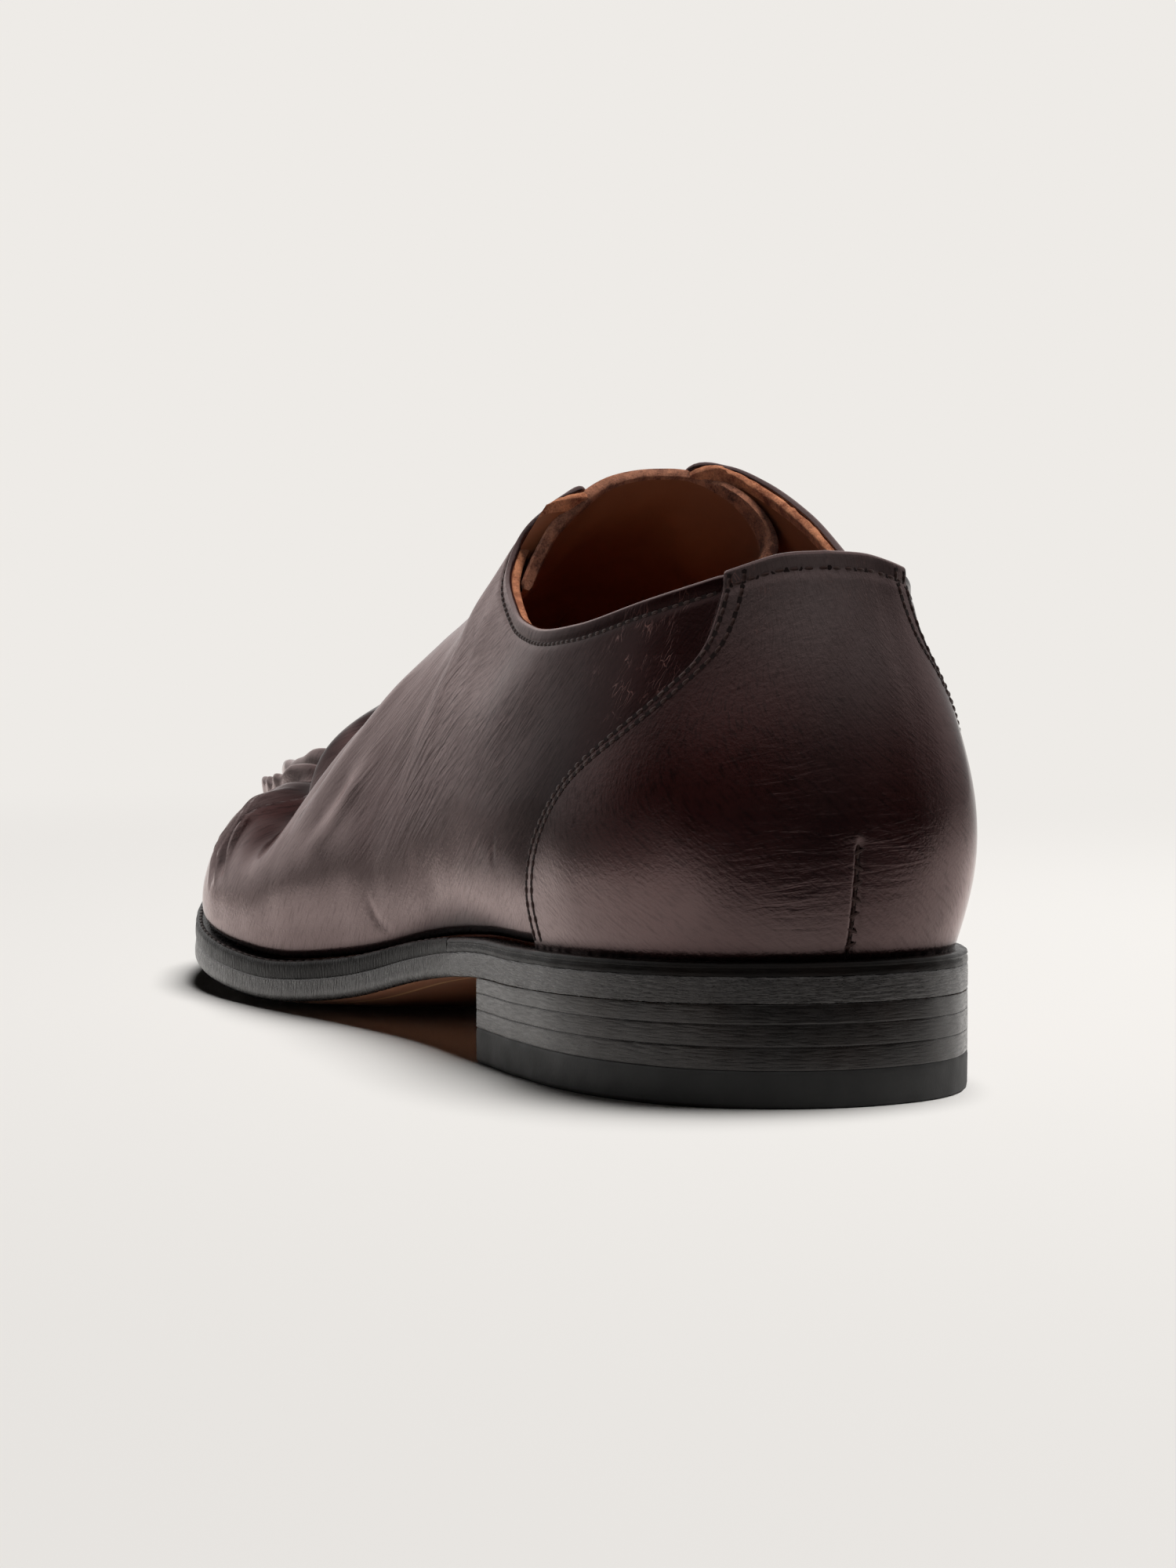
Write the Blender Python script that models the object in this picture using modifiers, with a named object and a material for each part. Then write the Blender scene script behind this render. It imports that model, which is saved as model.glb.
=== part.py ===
"""Left moc toe derby shoe, lateral side at -X, toe towards +Y, standing on its heel and ball."""
import math

import bmesh
import bpy
import numpy as np

# Driving sizes in millimetres. Tables are in the last's own frame: back of the heel at y = 0 on the floor.
MM = 0.001
GAP = 0.3
MID_X = -1.68
MID_Y = 144.63

OUTSOLE = 4.3
BREAST_AT = 4.84
TOP_PIECE = 5.9
LIFT_SHARES = (0.36, 0.34, 0.30)
RING_INNER = 2.4
INSOLE_INSET = 6.2
INSOLE_RISE = 1.4
WALL = 2.0
COUNTER_GAP = 0.5
COUNTER_THICK = 1.0
COUNTER_MARGIN = 0.02
BEAD_HEIGHT = 1.6
BEAD_HALF = 0.035
TONGUE_THICK = 1.6
TONGUE_POINTS = 15
LACE_RADIUS = 1.2
LACE_ARCH = 0.6
WELT_END = 5.45
WELT_BUTT = 0.02
JOIN_AT = 8.2
TOE_AT = 15.0
WAIST_AT = 6.0
INSOLE_END = 0.15
SHARP_DEG = 40
WELD = 0.00001
SLIVER = 0.000001
SLOPE_STEP = 0.01

# How many sections, lines or points each piece is drawn with.
HEEL_SECTIONS = 30
HEEL_LINES = 9
SOLE_REAR_SECTIONS = 25
SOLE_FRONT_SECTIONS = 36
SOLE_LINES = 13
INSOLE_SECTIONS = 44
INSOLE_LINES = 9
SEAT_SECTIONS = 22
WELT_SECTIONS = 36
WALL_BELOW_SEAM = 7
WALL_ABOVE_SEAM = 4
UPPER_HEEL = (0.0, 5.0, 15)
UPPER_THROAT = (5.3, 8.0, 12)
UPPER_VAMP = (8.6, 15.0, 17)
COUNTER_ROWS_UP = 12
COUNTER_ROWS_ROUND = 31
TONGUE_SECTIONS = 15
LACE_SIDES = 2

# Sole: one row for each section from heel back to toe tip.
# y along the shoe, half widths each side, height of the bottom edge, how far the middle hangs below it,
# height of sole and welt together, and how far inside the sole's edge the upper stands.
SOLE_COLUMNS = ("y", "lateral", "medial", "bottom", "crown", "stack", "inset")
SOLE_ROWS = (
    (0.0, 0.0, 0.0, 16.2, 0.0, 6.6, 3.4),
    (4.0, 15.5, 15.5, 16.1, 0.0, 6.6, 3.4),
    (14.0, 26.0, 26.0, 15.8, 0.0, 6.6, 3.4),
    (32.0, 33.5, 33.5, 15.3, 0.0, 6.6, 3.4),
    (55.0, 36.0, 36.0, 14.6, 0.0, 6.6, 3.4),
    (80.0, 36.2, 34.0, 13.9, 0.0, 6.7, 2.8),
    (110.0, 37.0, 31.0, 10.4, 0.8, 7.2, 2.8),
    (140.0, 42.0, 33.0, 4.6, 1.6, 7.6, 3.0),
    (168.0, 48.7, 39.7, 1.6, 2.4, 7.6, 3.0),
    (192.0, 52.3, 46.5, 2.2, 2.4, 7.6, 3.0),
    (214.0, 52.0, 49.3, 4.0, 2.0, 7.6, 3.0),
    (236.0, 47.0, 47.5, 6.2, 1.4, 7.6, 3.0),
    (257.0, 38.8, 42.5, 8.8, 1.0, 7.6, 3.0),
    (275.0, 26.5, 33.5, 11.6, 0.6, 7.6, 3.0),
    (287.0, 12.0, 21.0, 13.5, 0.3, 7.6, 3.0),
    (292.0, -4.5, 4.5, 14.2, 0.0, 7.6, 3.0),
)

# Upper: one row for each section, at a place along the sole's rows. x, y, z is the top of the section on the
# collar, facing or ridge. The wall leaves the sole at lean degrees outward for rise, and comes to the top
# rolled down from level by roll degrees over reach, from shift further forward.
UPPER_COLUMNS = ("at", "x", "y", "z", "lean", "rise", "roll", "reach", "shift")
HEEL_BACK = (0.0, -1.0, 5.5, 85.8, 21.0, 28.0, 82.0, 24.0, 0.0)
FOREPART = (
    (8.2, 3.5, 159.0, 74.5, 8.0, 26.0, 12.0, 31.0, 0.0),
    (8.8, 4.0, 175.0, 69.5, 8.0, 26.0, 10.0, 32.0, 0.0),
    (9.5, 4.5, 192.0, 63.8, 8.0, 25.0, 10.0, 30.0, 0.0),
    (10.0, 4.7, 204.0, 59.4, 8.0, 24.0, 11.0, 27.0, 0.0),
    (10.5, 5.0, 215.0, 55.8, 8.0, 23.0, 11.0, 26.5, 0.0),
    (11.0, 5.0, 226.0, 52.8, 8.0, 22.0, 11.0, 27.0, 0.0),
    (11.5, 5.0, 236.0, 50.8, 8.0, 20.0, 11.0, 27.0, 0.0),
    (12.0, 5.0, 245.0, 48.0, 8.0, 18.0, 12.0, 25.0, 0.0),
    (13.0, 5.0, 257.0, 44.0, 8.0, 15.0, 15.0, 20.0, 0.0),
    (14.0, 5.0, 264.5, 41.0, 8.0, 13.0, 18.0, 16.0, 0.0),
    (15.0, 5.0, 268.0, 39.5, 8.0, 12.0, 20.0, 15.0, 0.0),
)
LATERAL_ROWS = (
    HEEL_BACK,
    (1.0, -8.0, 7.5, 85.2, 21.0, 28.0, 82.0, 24.0, 0.0),
    (2.0, -15.5, 12.5, 82.2, 21.0, 28.0, 80.0, 24.0, 0.0),
    (3.0, -23.5, 26.0, 78.2, 17.0, 26.0, 78.0, 22.0, 0.0),
    (4.0, -28.0, 46.0, 74.2, 9.0, 21.0, 75.0, 20.0, 0.0),
    (5.0, -27.5, 72.0, 73.4, 8.0, 20.0, 72.0, 20.0, 0.0),
    (5.6, -25.0, 90.0, 76.2, 8.0, 20.0, 68.0, 20.0, 0.0),
    (6.1, -21.0, 106.0, 83.5, 8.0, 22.0, 62.0, 22.0, 0.0),
    (6.5, -15.5, 109.0, 91.5, 8.0, 24.0, 55.0, 25.5, 4.0),
    (6.8, -8.0, 106.0, 97.3, 8.0, 25.0, 48.0, 30.0, 11.0),
    (7.1, -4.5, 116.0, 92.0, 8.0, 26.0, 33.0, 29.5, 7.0),
    (7.5, -3.5, 133.0, 84.5, 8.0, 26.0, 20.0, 30.0, 2.5),
    (7.9, -2.0, 150.0, 77.5, 8.0, 26.0, 14.0, 31.0, 0.0),
) + FOREPART
MEDIAL_ROWS = (
    HEEL_BACK,
    (1.0, 6.5, 7.8, 85.2, 21.0, 28.0, 82.0, 24.0, 0.0),
    (2.0, 14.5, 13.0, 82.9, 21.0, 28.0, 80.0, 24.0, 0.0),
    (3.0, 22.5, 29.0, 80.5, 17.0, 26.0, 78.0, 22.0, 0.0),
    (4.0, 28.5, 52.0, 80.5, 8.0, 22.0, 75.0, 20.0, 0.0),
    (5.0, 30.5, 74.0, 84.5, 5.0, 24.0, 72.0, 20.0, 0.0),
    (5.6, 29.0, 90.0, 92.5, 4.0, 26.0, 68.0, 20.0, 0.0),
    (6.1, 25.5, 103.0, 98.2, 4.0, 26.0, 60.0, 22.0, 0.0),
    (6.5, 19.5, 107.0, 101.0, 5.0, 26.0, 54.0, 26.5, 5.0),
    (6.8, 13.0, 107.5, 101.0, 6.0, 26.0, 46.0, 29.5, 10.5),
    (7.1, 11.0, 117.0, 94.5, 6.0, 26.0, 33.0, 29.5, 7.0),
    (7.5, 10.3, 134.0, 85.5, 7.0, 26.0, 20.0, 30.0, 2.5),
    (7.9, 8.8, 150.5, 78.0, 8.0, 26.0, 14.0, 31.0, 0.0),
) + FOREPART

# Moc seam: how far up the section it runs and how much of its full height it has.
SEAM_COLUMNS = ("at", "v", "height")
SEAM_ROWS = (
    (0.0, 0.74, 0.0),
    (7.2, 0.74, 0.0),
    (8.0, 0.74, 0.0),
    (8.6, 0.73, 0.6),
    (9.2, 0.69, 1.0),
    (10.0, 0.62, 1.0),
    (10.6, 0.56, 1.0),
    (11.3, 0.53, 1.0),
    (12.5, 0.53, 1.0),
    (15.0, 0.56, 1.0),
)

# Counter: where its front edge crosses the sole's rows, for each height up the section.
COUNTER_COLUMNS = ("v", "at")
COUNTER_ROWS = (
    (0.0, 3.85),
    (0.15, 3.95),
    (0.30, 3.83),
    (0.45, 3.45),
    (0.60, 2.85),
    (0.72, 2.38),
    (0.80, 2.08),
    (0.90, 1.95),
    (1.00, 1.92),
)

# Tongue: one row for each section, from its free top to its seat under the vamp, with the room between it and
# the wall's inside and how far up the section its side edges lie, and how high it arches between them.
TONGUE_COLUMNS = ("at", "room", "hem", "swell")
TONGUE_ROWS = (
    (6.76, 1.5, 0.80, 0.66),
    (7.1, 1.5, 0.80, 0.53),
    (7.5, 1.4, 0.80, 0.42),
    (8.2, 1.4, 0.82, 0.36),
    (8.9, 1.4, 0.84, 0.34),
)

LACE_PLACES = (7.02, 7.3, 7.6)
LACE_TUCK = 0.965

LOOKS = {
    "calf": ((0.062, 0.024, 0.022), 0.32),
    "lining": ((0.42, 0.20, 0.09), 0.75),
    "sole_edge": ((0.016, 0.014, 0.013), 0.45),
    "sole_leather": ((0.10, 0.045, 0.025), 0.55),
    "rubber": ((0.008, 0.008, 0.008), 0.6),
    "lace": ((0.03, 0.014, 0.013), 0.7),
}


def table(names, rows):
    return dict(zip(names, np.array(rows, dtype=float).T))


def smooth(places, values, at):
    """Curve through the values that never jumps in slope."""
    places = np.asarray(places, dtype=float)
    values = np.asarray(values, dtype=float)
    at = np.clip(np.asarray(at, dtype=float), places[0], places[-1])
    slopes = np.gradient(values, places)
    index = np.clip(np.searchsorted(places, at, side="right") - 1, 0, len(places) - 2)
    span = places[index + 1] - places[index]
    t = (at - places[index]) / span
    rise = (2 * t**3 - 3 * t**2 + 1) * values[index] + (-2 * t**3 + 3 * t**2) * values[index + 1]
    turn = (t**3 - 2 * t**2 + t) * slopes[index] + (t**3 - t**2) * slopes[index + 1]
    return rise + turn * span


SOLE = table(SOLE_COLUMNS, SOLE_ROWS)
SOLE_AT = np.arange(len(SOLE_ROWS))
TOPS = {-1: table(UPPER_COLUMNS, LATERAL_ROWS), 1: table(UPPER_COLUMNS, MEDIAL_ROWS)}
FORE = table(UPPER_COLUMNS, FOREPART)
SEAM = table(SEAM_COLUMNS, SEAM_ROWS)
COUNTER = table(COUNTER_COLUMNS, COUNTER_ROWS)
TONGUE = table(TONGUE_COLUMNS, TONGUE_ROWS)


def sole_value(name, at):
    return smooth(SOLE_AT, SOLE[name], at)


def outline(at, side):
    """Sole's edge in plan, heel back to toe tip. The curve is mirrored past both ends to round them."""
    name = "lateral" if side < 0 else "medial"
    other = "medial" if side < 0 else "lateral"
    places = np.arange(-2, len(SOLE_ROWS) + 2)
    across = np.concatenate([-SOLE[other][[2, 1]], SOLE[name], -SOLE[other][[-2, -3]]])
    along = np.concatenate([SOLE["y"][[2, 1]], SOLE["y"], SOLE["y"][[-2, -3]]])
    return np.stack([side * smooth(places, across, at), smooth(places, along, at)], axis=-1)


def outward(at, side):
    """Level unit vector out of the sole's edge."""
    ahead = outline(np.asarray(at) + 2 * SLOPE_STEP, side)
    behind = outline(np.asarray(at) - 2 * SLOPE_STEP, side)
    along = ahead - behind
    across = np.stack([along[..., 1], -along[..., 0]], axis=-1) * side
    return across / np.linalg.norm(across, axis=-1, keepdims=True)


def inside(at, side, inset):
    return outline(at, side) - outward(at, side) * np.asarray(inset)[..., None]


def feather(at, side):
    """Foot of the upper, standing on welt and heel seat."""
    plan = inside(at, side, sole_value("inset", at))
    height = sole_value("bottom", at) + sole_value("stack", at) + GAP
    return np.concatenate([plan, height[..., None]], axis=-1)


def top_value(name, at, side):
    """Both sides share the ridge in front of the throat."""
    rear = smooth(TOPS[side]["at"], TOPS[side][name], at)
    return np.where(at < JOIN_AT, rear, smooth(FORE["at"], FORE[name], at))


def section(at, side, v):
    """Smooth surface of the last: v = 0 at the sole, v = 1 at collar, facing or ridge."""
    at, v = np.broadcast_arrays(np.asarray(at, dtype=float), np.asarray(v, dtype=float))
    value = {name: top_value(name, at, side) for name in UPPER_COLUMNS[1:]}
    out = np.concatenate([outward(at, side), np.zeros(at.shape + (1,))], axis=-1)
    up = np.array([0.0, 0.0, 1.0])
    lean = np.radians(value["lean"])[..., None]
    roll = np.radians(value["roll"])[..., None]
    foot = feather(at, side)
    crest = np.stack([value["x"], value["y"], value["z"]], axis=-1)
    first = foot + (out * np.sin(lean) + up * np.cos(lean)) * value["rise"][..., None]
    last = crest + (out * np.cos(roll) - up * np.sin(roll)) * value["reach"][..., None]
    last = last + np.array([0.0, 1.0, 0.0]) * value["shift"][..., None]
    v = v[..., None]
    w = 1.0 - v
    return w**3 * foot + 3 * w**2 * v * first + 3 * w * v**2 * last + v**3 * crest


def normal(at, side, v):
    low = np.clip(v - SLOPE_STEP, 0.0, 1.0)
    high = np.clip(v + SLOPE_STEP, 0.0, 1.0)
    along = section(at + SLOPE_STEP, side, v) - section(at - SLOPE_STEP, side, v)
    rising = section(at, side, high) - section(at, side, low)
    across = np.cross(along, rising) * side
    return across / np.linalg.norm(across, axis=-1, keepdims=True)


def skin(at, side, v, lift=0.0):
    """Point on the upper, with the raised seam, lifted along its normal."""
    at, v = np.broadcast_arrays(np.asarray(at, dtype=float), np.asarray(v, dtype=float))
    away = (v - smooth(SEAM["at"], SEAM["v"], at)) / BEAD_HALF
    height = BEAD_HEIGHT * np.clip(smooth(SEAM["at"], SEAM["height"], at), 0.0, 1.0)
    bead = height * np.clip(1.0 - away**2, 0.0, 1.0)
    return section(at, side, v) + normal(at, side, v) * (bead + lift)[..., None]


def material(name):
    found = bpy.data.materials.get(name)
    if found:
        return found
    colour, roughness = LOOKS[name]
    made = bpy.data.materials.new(name)
    made.use_nodes = True
    shader = made.node_tree.nodes["Principled BSDF"]
    shader.inputs["Base Color"].default_value = (*colour, 1.0)
    shader.inputs["Roughness"].default_value = roughness
    shader.inputs["Metallic"].default_value = 0.0
    return made


def add(name, look, mesh, collection):
    made = bpy.data.objects.new(name, mesh)
    mesh.materials.append(material(look))
    collection.objects.link(made)
    return made


def placed(point):
    return ((point[0] - MID_X) * MM, (point[1] - MID_Y) * MM, point[2] * MM)


def finish(build, name, solid=True):
    bmesh.ops.remove_doubles(build, verts=build.verts, dist=WELD)
    bmesh.ops.dissolve_degenerate(build, edges=build.edges, dist=SLIVER)
    bmesh.ops.recalc_face_normals(build, faces=build.faces)
    if solid and build.calc_volume(signed=True) < 0.0:
        bmesh.ops.reverse_faces(build, faces=build.faces)
    mesh = bpy.data.meshes.new(name)
    build.to_mesh(mesh)
    build.free()
    mesh.shade_smooth()
    mesh.set_sharp_from_angle(angle=math.radians(SHARP_DEG))
    return mesh


def sheet(build, grid, closed=False):
    """Quads over a grid of points, given row by row."""
    verts = [[build.verts.new(placed(point)) for point in row] for row in grid]
    count = len(verts)
    for i in range(count if closed else count - 1):
        low = verts[i]
        high = verts[(i + 1) % count]
        for j in range(len(low) - 1):
            build.faces.new((low[j], low[j + 1], high[j + 1], high[j]))
    return verts


def loft(name, sections):
    """Solid through closed sections, each with one line of points out and a matching line back."""
    build = bmesh.new()
    loops = [[build.verts.new(placed(point)) for point in loop] for loop in sections]
    for low, high in zip(loops[:-1], loops[1:]):
        for j in range(len(low)):
            k = (j + 1) % len(low)
            build.faces.new((low[j], low[k], high[k], high[j]))
    for loop in (loops[0], loops[-1]):
        for j in range(len(loop) // 2 - 1):
            build.faces.new((loop[j], loop[j + 1], loop[-2 - j], loop[-1 - j]))
    return finish(build, name)


def slab(name, places, inset, low, high, columns):
    """Plate inside the sole's outline. low and high give heights at (place, share of the half width)."""
    build = bmesh.new()
    shares = np.linspace(0.0, 1.0, columns)
    bottom = []
    top = []
    for at in places:
        left = inside(at, -1, inset)
        right = inside(at, 1, inset)
        plan = left + (right - left) * shares[:, None]
        away = 2.0 * shares - 1.0
        bottom.append(np.column_stack([plan, low(at, away)]))
        top.append(np.column_stack([plan, high(at, away)]))
    under = sheet(build, bottom)
    over = sheet(build, top)
    rim_under = rim(under)
    rim_over = rim(over)
    for j in range(len(rim_under)):
        k = (j + 1) % len(rim_under)
        build.faces.new((rim_under[j], rim_under[k], rim_over[k], rim_over[j]))
    return finish(build, name)


def rim(verts):
    """Border of a grid of vertices, in order."""
    right = [row[-1] for row in verts[1:]]
    back = verts[-1][-2::-1]
    left = [row[0] for row in verts[-2:0:-1]]
    return verts[0] + right + back + left


def make_heel(collection):
    places = np.linspace(0.0, BREAST_AT, HEEL_SECTIONS)

    def level(share):
        return lambda at, away: TOP_PIECE + (sole_value("bottom", at) - TOP_PIECE) * share + 0.0 * away

    floor = lambda at, away: 0.0 * away
    add("top_piece", "rubber", slab("top_piece", places, 0.0, floor, level(0.0), HEEL_LINES), collection)
    share = 0.0
    for number, part in enumerate(LIFT_SHARES, 1):
        base = level(share)
        roof = level(share + part)
        low = lambda at, away, base=base: base(at, away) + GAP
        mesh = slab(f"heel_lift_{number}", places, 0.0, low, roof, HEEL_LINES)
        add(f"heel_lift_{number}", "sole_edge", mesh, collection)
        share += part


def make_sole(collection):
    rear = np.linspace(0.0, WAIST_AT, SOLE_REAR_SECTIONS)
    front = np.linspace(WAIST_AT, TOE_AT, SOLE_FRONT_SECTIONS + 1)
    places = np.concatenate([rear, front[1:]])

    def under(at, away):
        hang = sole_value("crown", at) * (1.0 - away**2)
        return np.maximum(sole_value("bottom", at) + GAP - hang, 0.0)

    def over(at, away):
        return sole_value("bottom", at) + OUTSOLE + 0.0 * away

    add("outsole", "sole_leather", slab("outsole", places, 0.0, under, over, SOLE_LINES), collection)

    inner = np.linspace(INSOLE_END, TOE_AT - INSOLE_END, INSOLE_SECTIONS)

    def board_low(at, away):
        return over(at, away) + GAP

    def board_high(at, away):
        return sole_value("bottom", at) + sole_value("stack", at) + GAP + INSOLE_RISE + 0.0 * away

    board = slab("insole", inner, INSOLE_INSET, board_low, board_high, INSOLE_LINES)
    add("insole", "lining", board, collection)


def ring(name, path):
    """Strip along the sole's edge, under the foot of the upper."""
    loops = []
    for at, side in path:
        out = inside(at, side, 0.0)
        back = inside(at, side, sole_value("inset", at) + RING_INNER)
        low = sole_value("bottom", at) + OUTSOLE + GAP
        high = sole_value("bottom", at) + sole_value("stack", at)
        loops.append([(*out, low), (*out, high), (*back, high), (*back, low)])
    return loft(name, loops)


def make_welt(collection):
    heel = np.linspace(0.0, WELT_END, SEAT_SECTIONS)
    path = [(at, -1) for at in heel[::-1]] + [(at, 1) for at in heel[1:]]
    add("heel_seat", "sole_edge", ring("heel_seat", path), collection)
    front = np.linspace(WELT_END + WELT_BUTT, TOE_AT, WELT_SECTIONS)
    path = [(at, -1) for at in front] + [(at, 1) for at in front[-2::-1]]
    add("welt", "sole_edge", ring("welt", path), collection)


def heights(at):
    """Places up a section, closer together at the raised seam."""
    seam = float(smooth(SEAM["at"], SEAM["v"], at))
    below = np.linspace(0.0, seam - BEAD_HALF, WALL_BELOW_SEAM)
    above = np.linspace(seam + BEAD_HALF, 1.0, WALL_ABOVE_SEAM)
    return np.concatenate([below, [seam], above])


def make_upper(collection):
    runs = (np.linspace(*UPPER_HEEL), np.linspace(*UPPER_THROAT), [JOIN_AT], np.linspace(*UPPER_VAMP))
    places = np.concatenate(runs)
    build = bmesh.new()
    around = [(at, -1) for at in places] + [(at, 1) for at in places[-2:0:-1]]
    grid = [skin(at, side, heights(at)) for at, side in around]
    sheet(build, grid, closed=True)
    made = add("upper", "calf", finish(build, "upper", solid=False), collection)
    shell = made.modifiers.new("wall", "SOLIDIFY")
    shell.thickness = WALL * MM
    shell.offset = -1.0
    return made


def make_counter(collection):
    rows = np.linspace(COUNTER_MARGIN, 1.0 - COUNTER_MARGIN, COUNTER_ROWS_UP)
    shares = np.linspace(-1.0, 1.0, COUNTER_ROWS_ROUND)
    loops = []
    for share in shares:
        side = -1 if share < 0 else 1
        at = np.abs(share) * smooth(COUNTER["v"], COUNTER["at"], rows)
        inner = skin(at, side, rows, COUNTER_GAP)
        outer = skin(at, side, rows, COUNTER_GAP + COUNTER_THICK)
        loops.append(list(inner) + list(outer[::-1]))
    add("counter", "calf", loft("counter", loops), collection)


def arch(at, lift, hem, swell, count):
    """Line across the throat under the wall, from side edge to side edge."""
    ends = []
    pulls = []
    for side in (-1, 1):
        edge = skin(at, side, np.array([hem, hem + 2 * SLOPE_STEP]), -lift)
        ends.append(edge[0])
        pulls.append((edge[1] - edge[0]) / np.linalg.norm(edge[1] - edge[0]))
    pull = swell * np.linalg.norm(ends[1] - ends[0])
    t = np.linspace(0.0, 1.0, count)[:, None]
    w = 1.0 - t
    first = ends[0] + pulls[0] * pull
    last = ends[1] + pulls[1] * pull
    return w**3 * ends[0] + 3 * w**2 * t * first + 3 * w * t**2 * last + t**3 * ends[1]


def make_tongue(collection):
    loops = []
    for at in np.linspace(TONGUE["at"][0], TONGUE["at"][-1], TONGUE_SECTIONS):
        lift = WALL + smooth(TONGUE["at"], TONGUE["room"], at)
        hem = smooth(TONGUE["at"], TONGUE["hem"], at)
        swell = smooth(TONGUE["at"], TONGUE["swell"], at)
        over = arch(at, lift, hem, swell, TONGUE_POINTS)
        under = arch(at, lift + TONGUE_THICK, hem, swell, TONGUE_POINTS)
        loops.append(list(over) + list(under[::-1]))
    add("tongue", "lining", loft("tongue", loops), collection)


def make_laces(collection):
    for number, at in enumerate(LACE_PLACES, 1):
        lift = LACE_RADIUS + GAP
        left = skin(at, -1, LACE_TUCK, lift)
        right = skin(at, 1, LACE_TUCK, lift)
        near = skin(at, -1, 1.0, lift)
        far = skin(at, 1, 1.0, lift)
        route = [left, near, (near + far) / 2 + np.array([0.0, 0.0, LACE_ARCH]), far, right]
        curve = bpy.data.curves.new(f"lace_bar_{number}", "CURVE")
        curve.dimensions = "3D"
        curve.bevel_depth = LACE_RADIUS * MM
        curve.bevel_resolution = LACE_SIDES
        curve.use_fill_caps = True
        spline = curve.splines.new("POLY")
        spline.points.add(len(route) - 1)
        for point, place in zip(spline.points, route):
            point.co = (*placed(place), 1.0)
        add(f"lace_bar_{number}", "lace", curve, collection)


def main():
    for old in list(bpy.data.objects):
        bpy.data.objects.remove(old, do_unlink=True)
    collection = bpy.data.collections.new("moc_toe_derby_shoe")
    bpy.context.scene.collection.children.link(collection)
    make_heel(collection)
    make_sole(collection)
    make_welt(collection)
    make_upper(collection)
    make_counter(collection)
    make_tongue(collection)
    make_laces(collection)


main()
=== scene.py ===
import math

import bpy
import numpy as np
from mathutils import Matrix, Vector


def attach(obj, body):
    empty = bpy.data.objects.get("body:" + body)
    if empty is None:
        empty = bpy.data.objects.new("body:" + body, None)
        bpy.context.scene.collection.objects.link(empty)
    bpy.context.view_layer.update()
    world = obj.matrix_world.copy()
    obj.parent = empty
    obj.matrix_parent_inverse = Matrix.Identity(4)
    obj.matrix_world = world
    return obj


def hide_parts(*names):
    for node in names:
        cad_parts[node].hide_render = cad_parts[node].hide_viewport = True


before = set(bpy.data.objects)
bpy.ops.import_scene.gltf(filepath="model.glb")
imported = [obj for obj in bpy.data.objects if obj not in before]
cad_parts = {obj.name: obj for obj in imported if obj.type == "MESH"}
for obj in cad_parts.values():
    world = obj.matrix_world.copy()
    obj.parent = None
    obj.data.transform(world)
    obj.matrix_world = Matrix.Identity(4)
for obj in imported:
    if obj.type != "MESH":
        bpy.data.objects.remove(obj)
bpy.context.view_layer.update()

mm = 0.001
upward = np.array([0.0, 0.0, 1.0])

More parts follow.
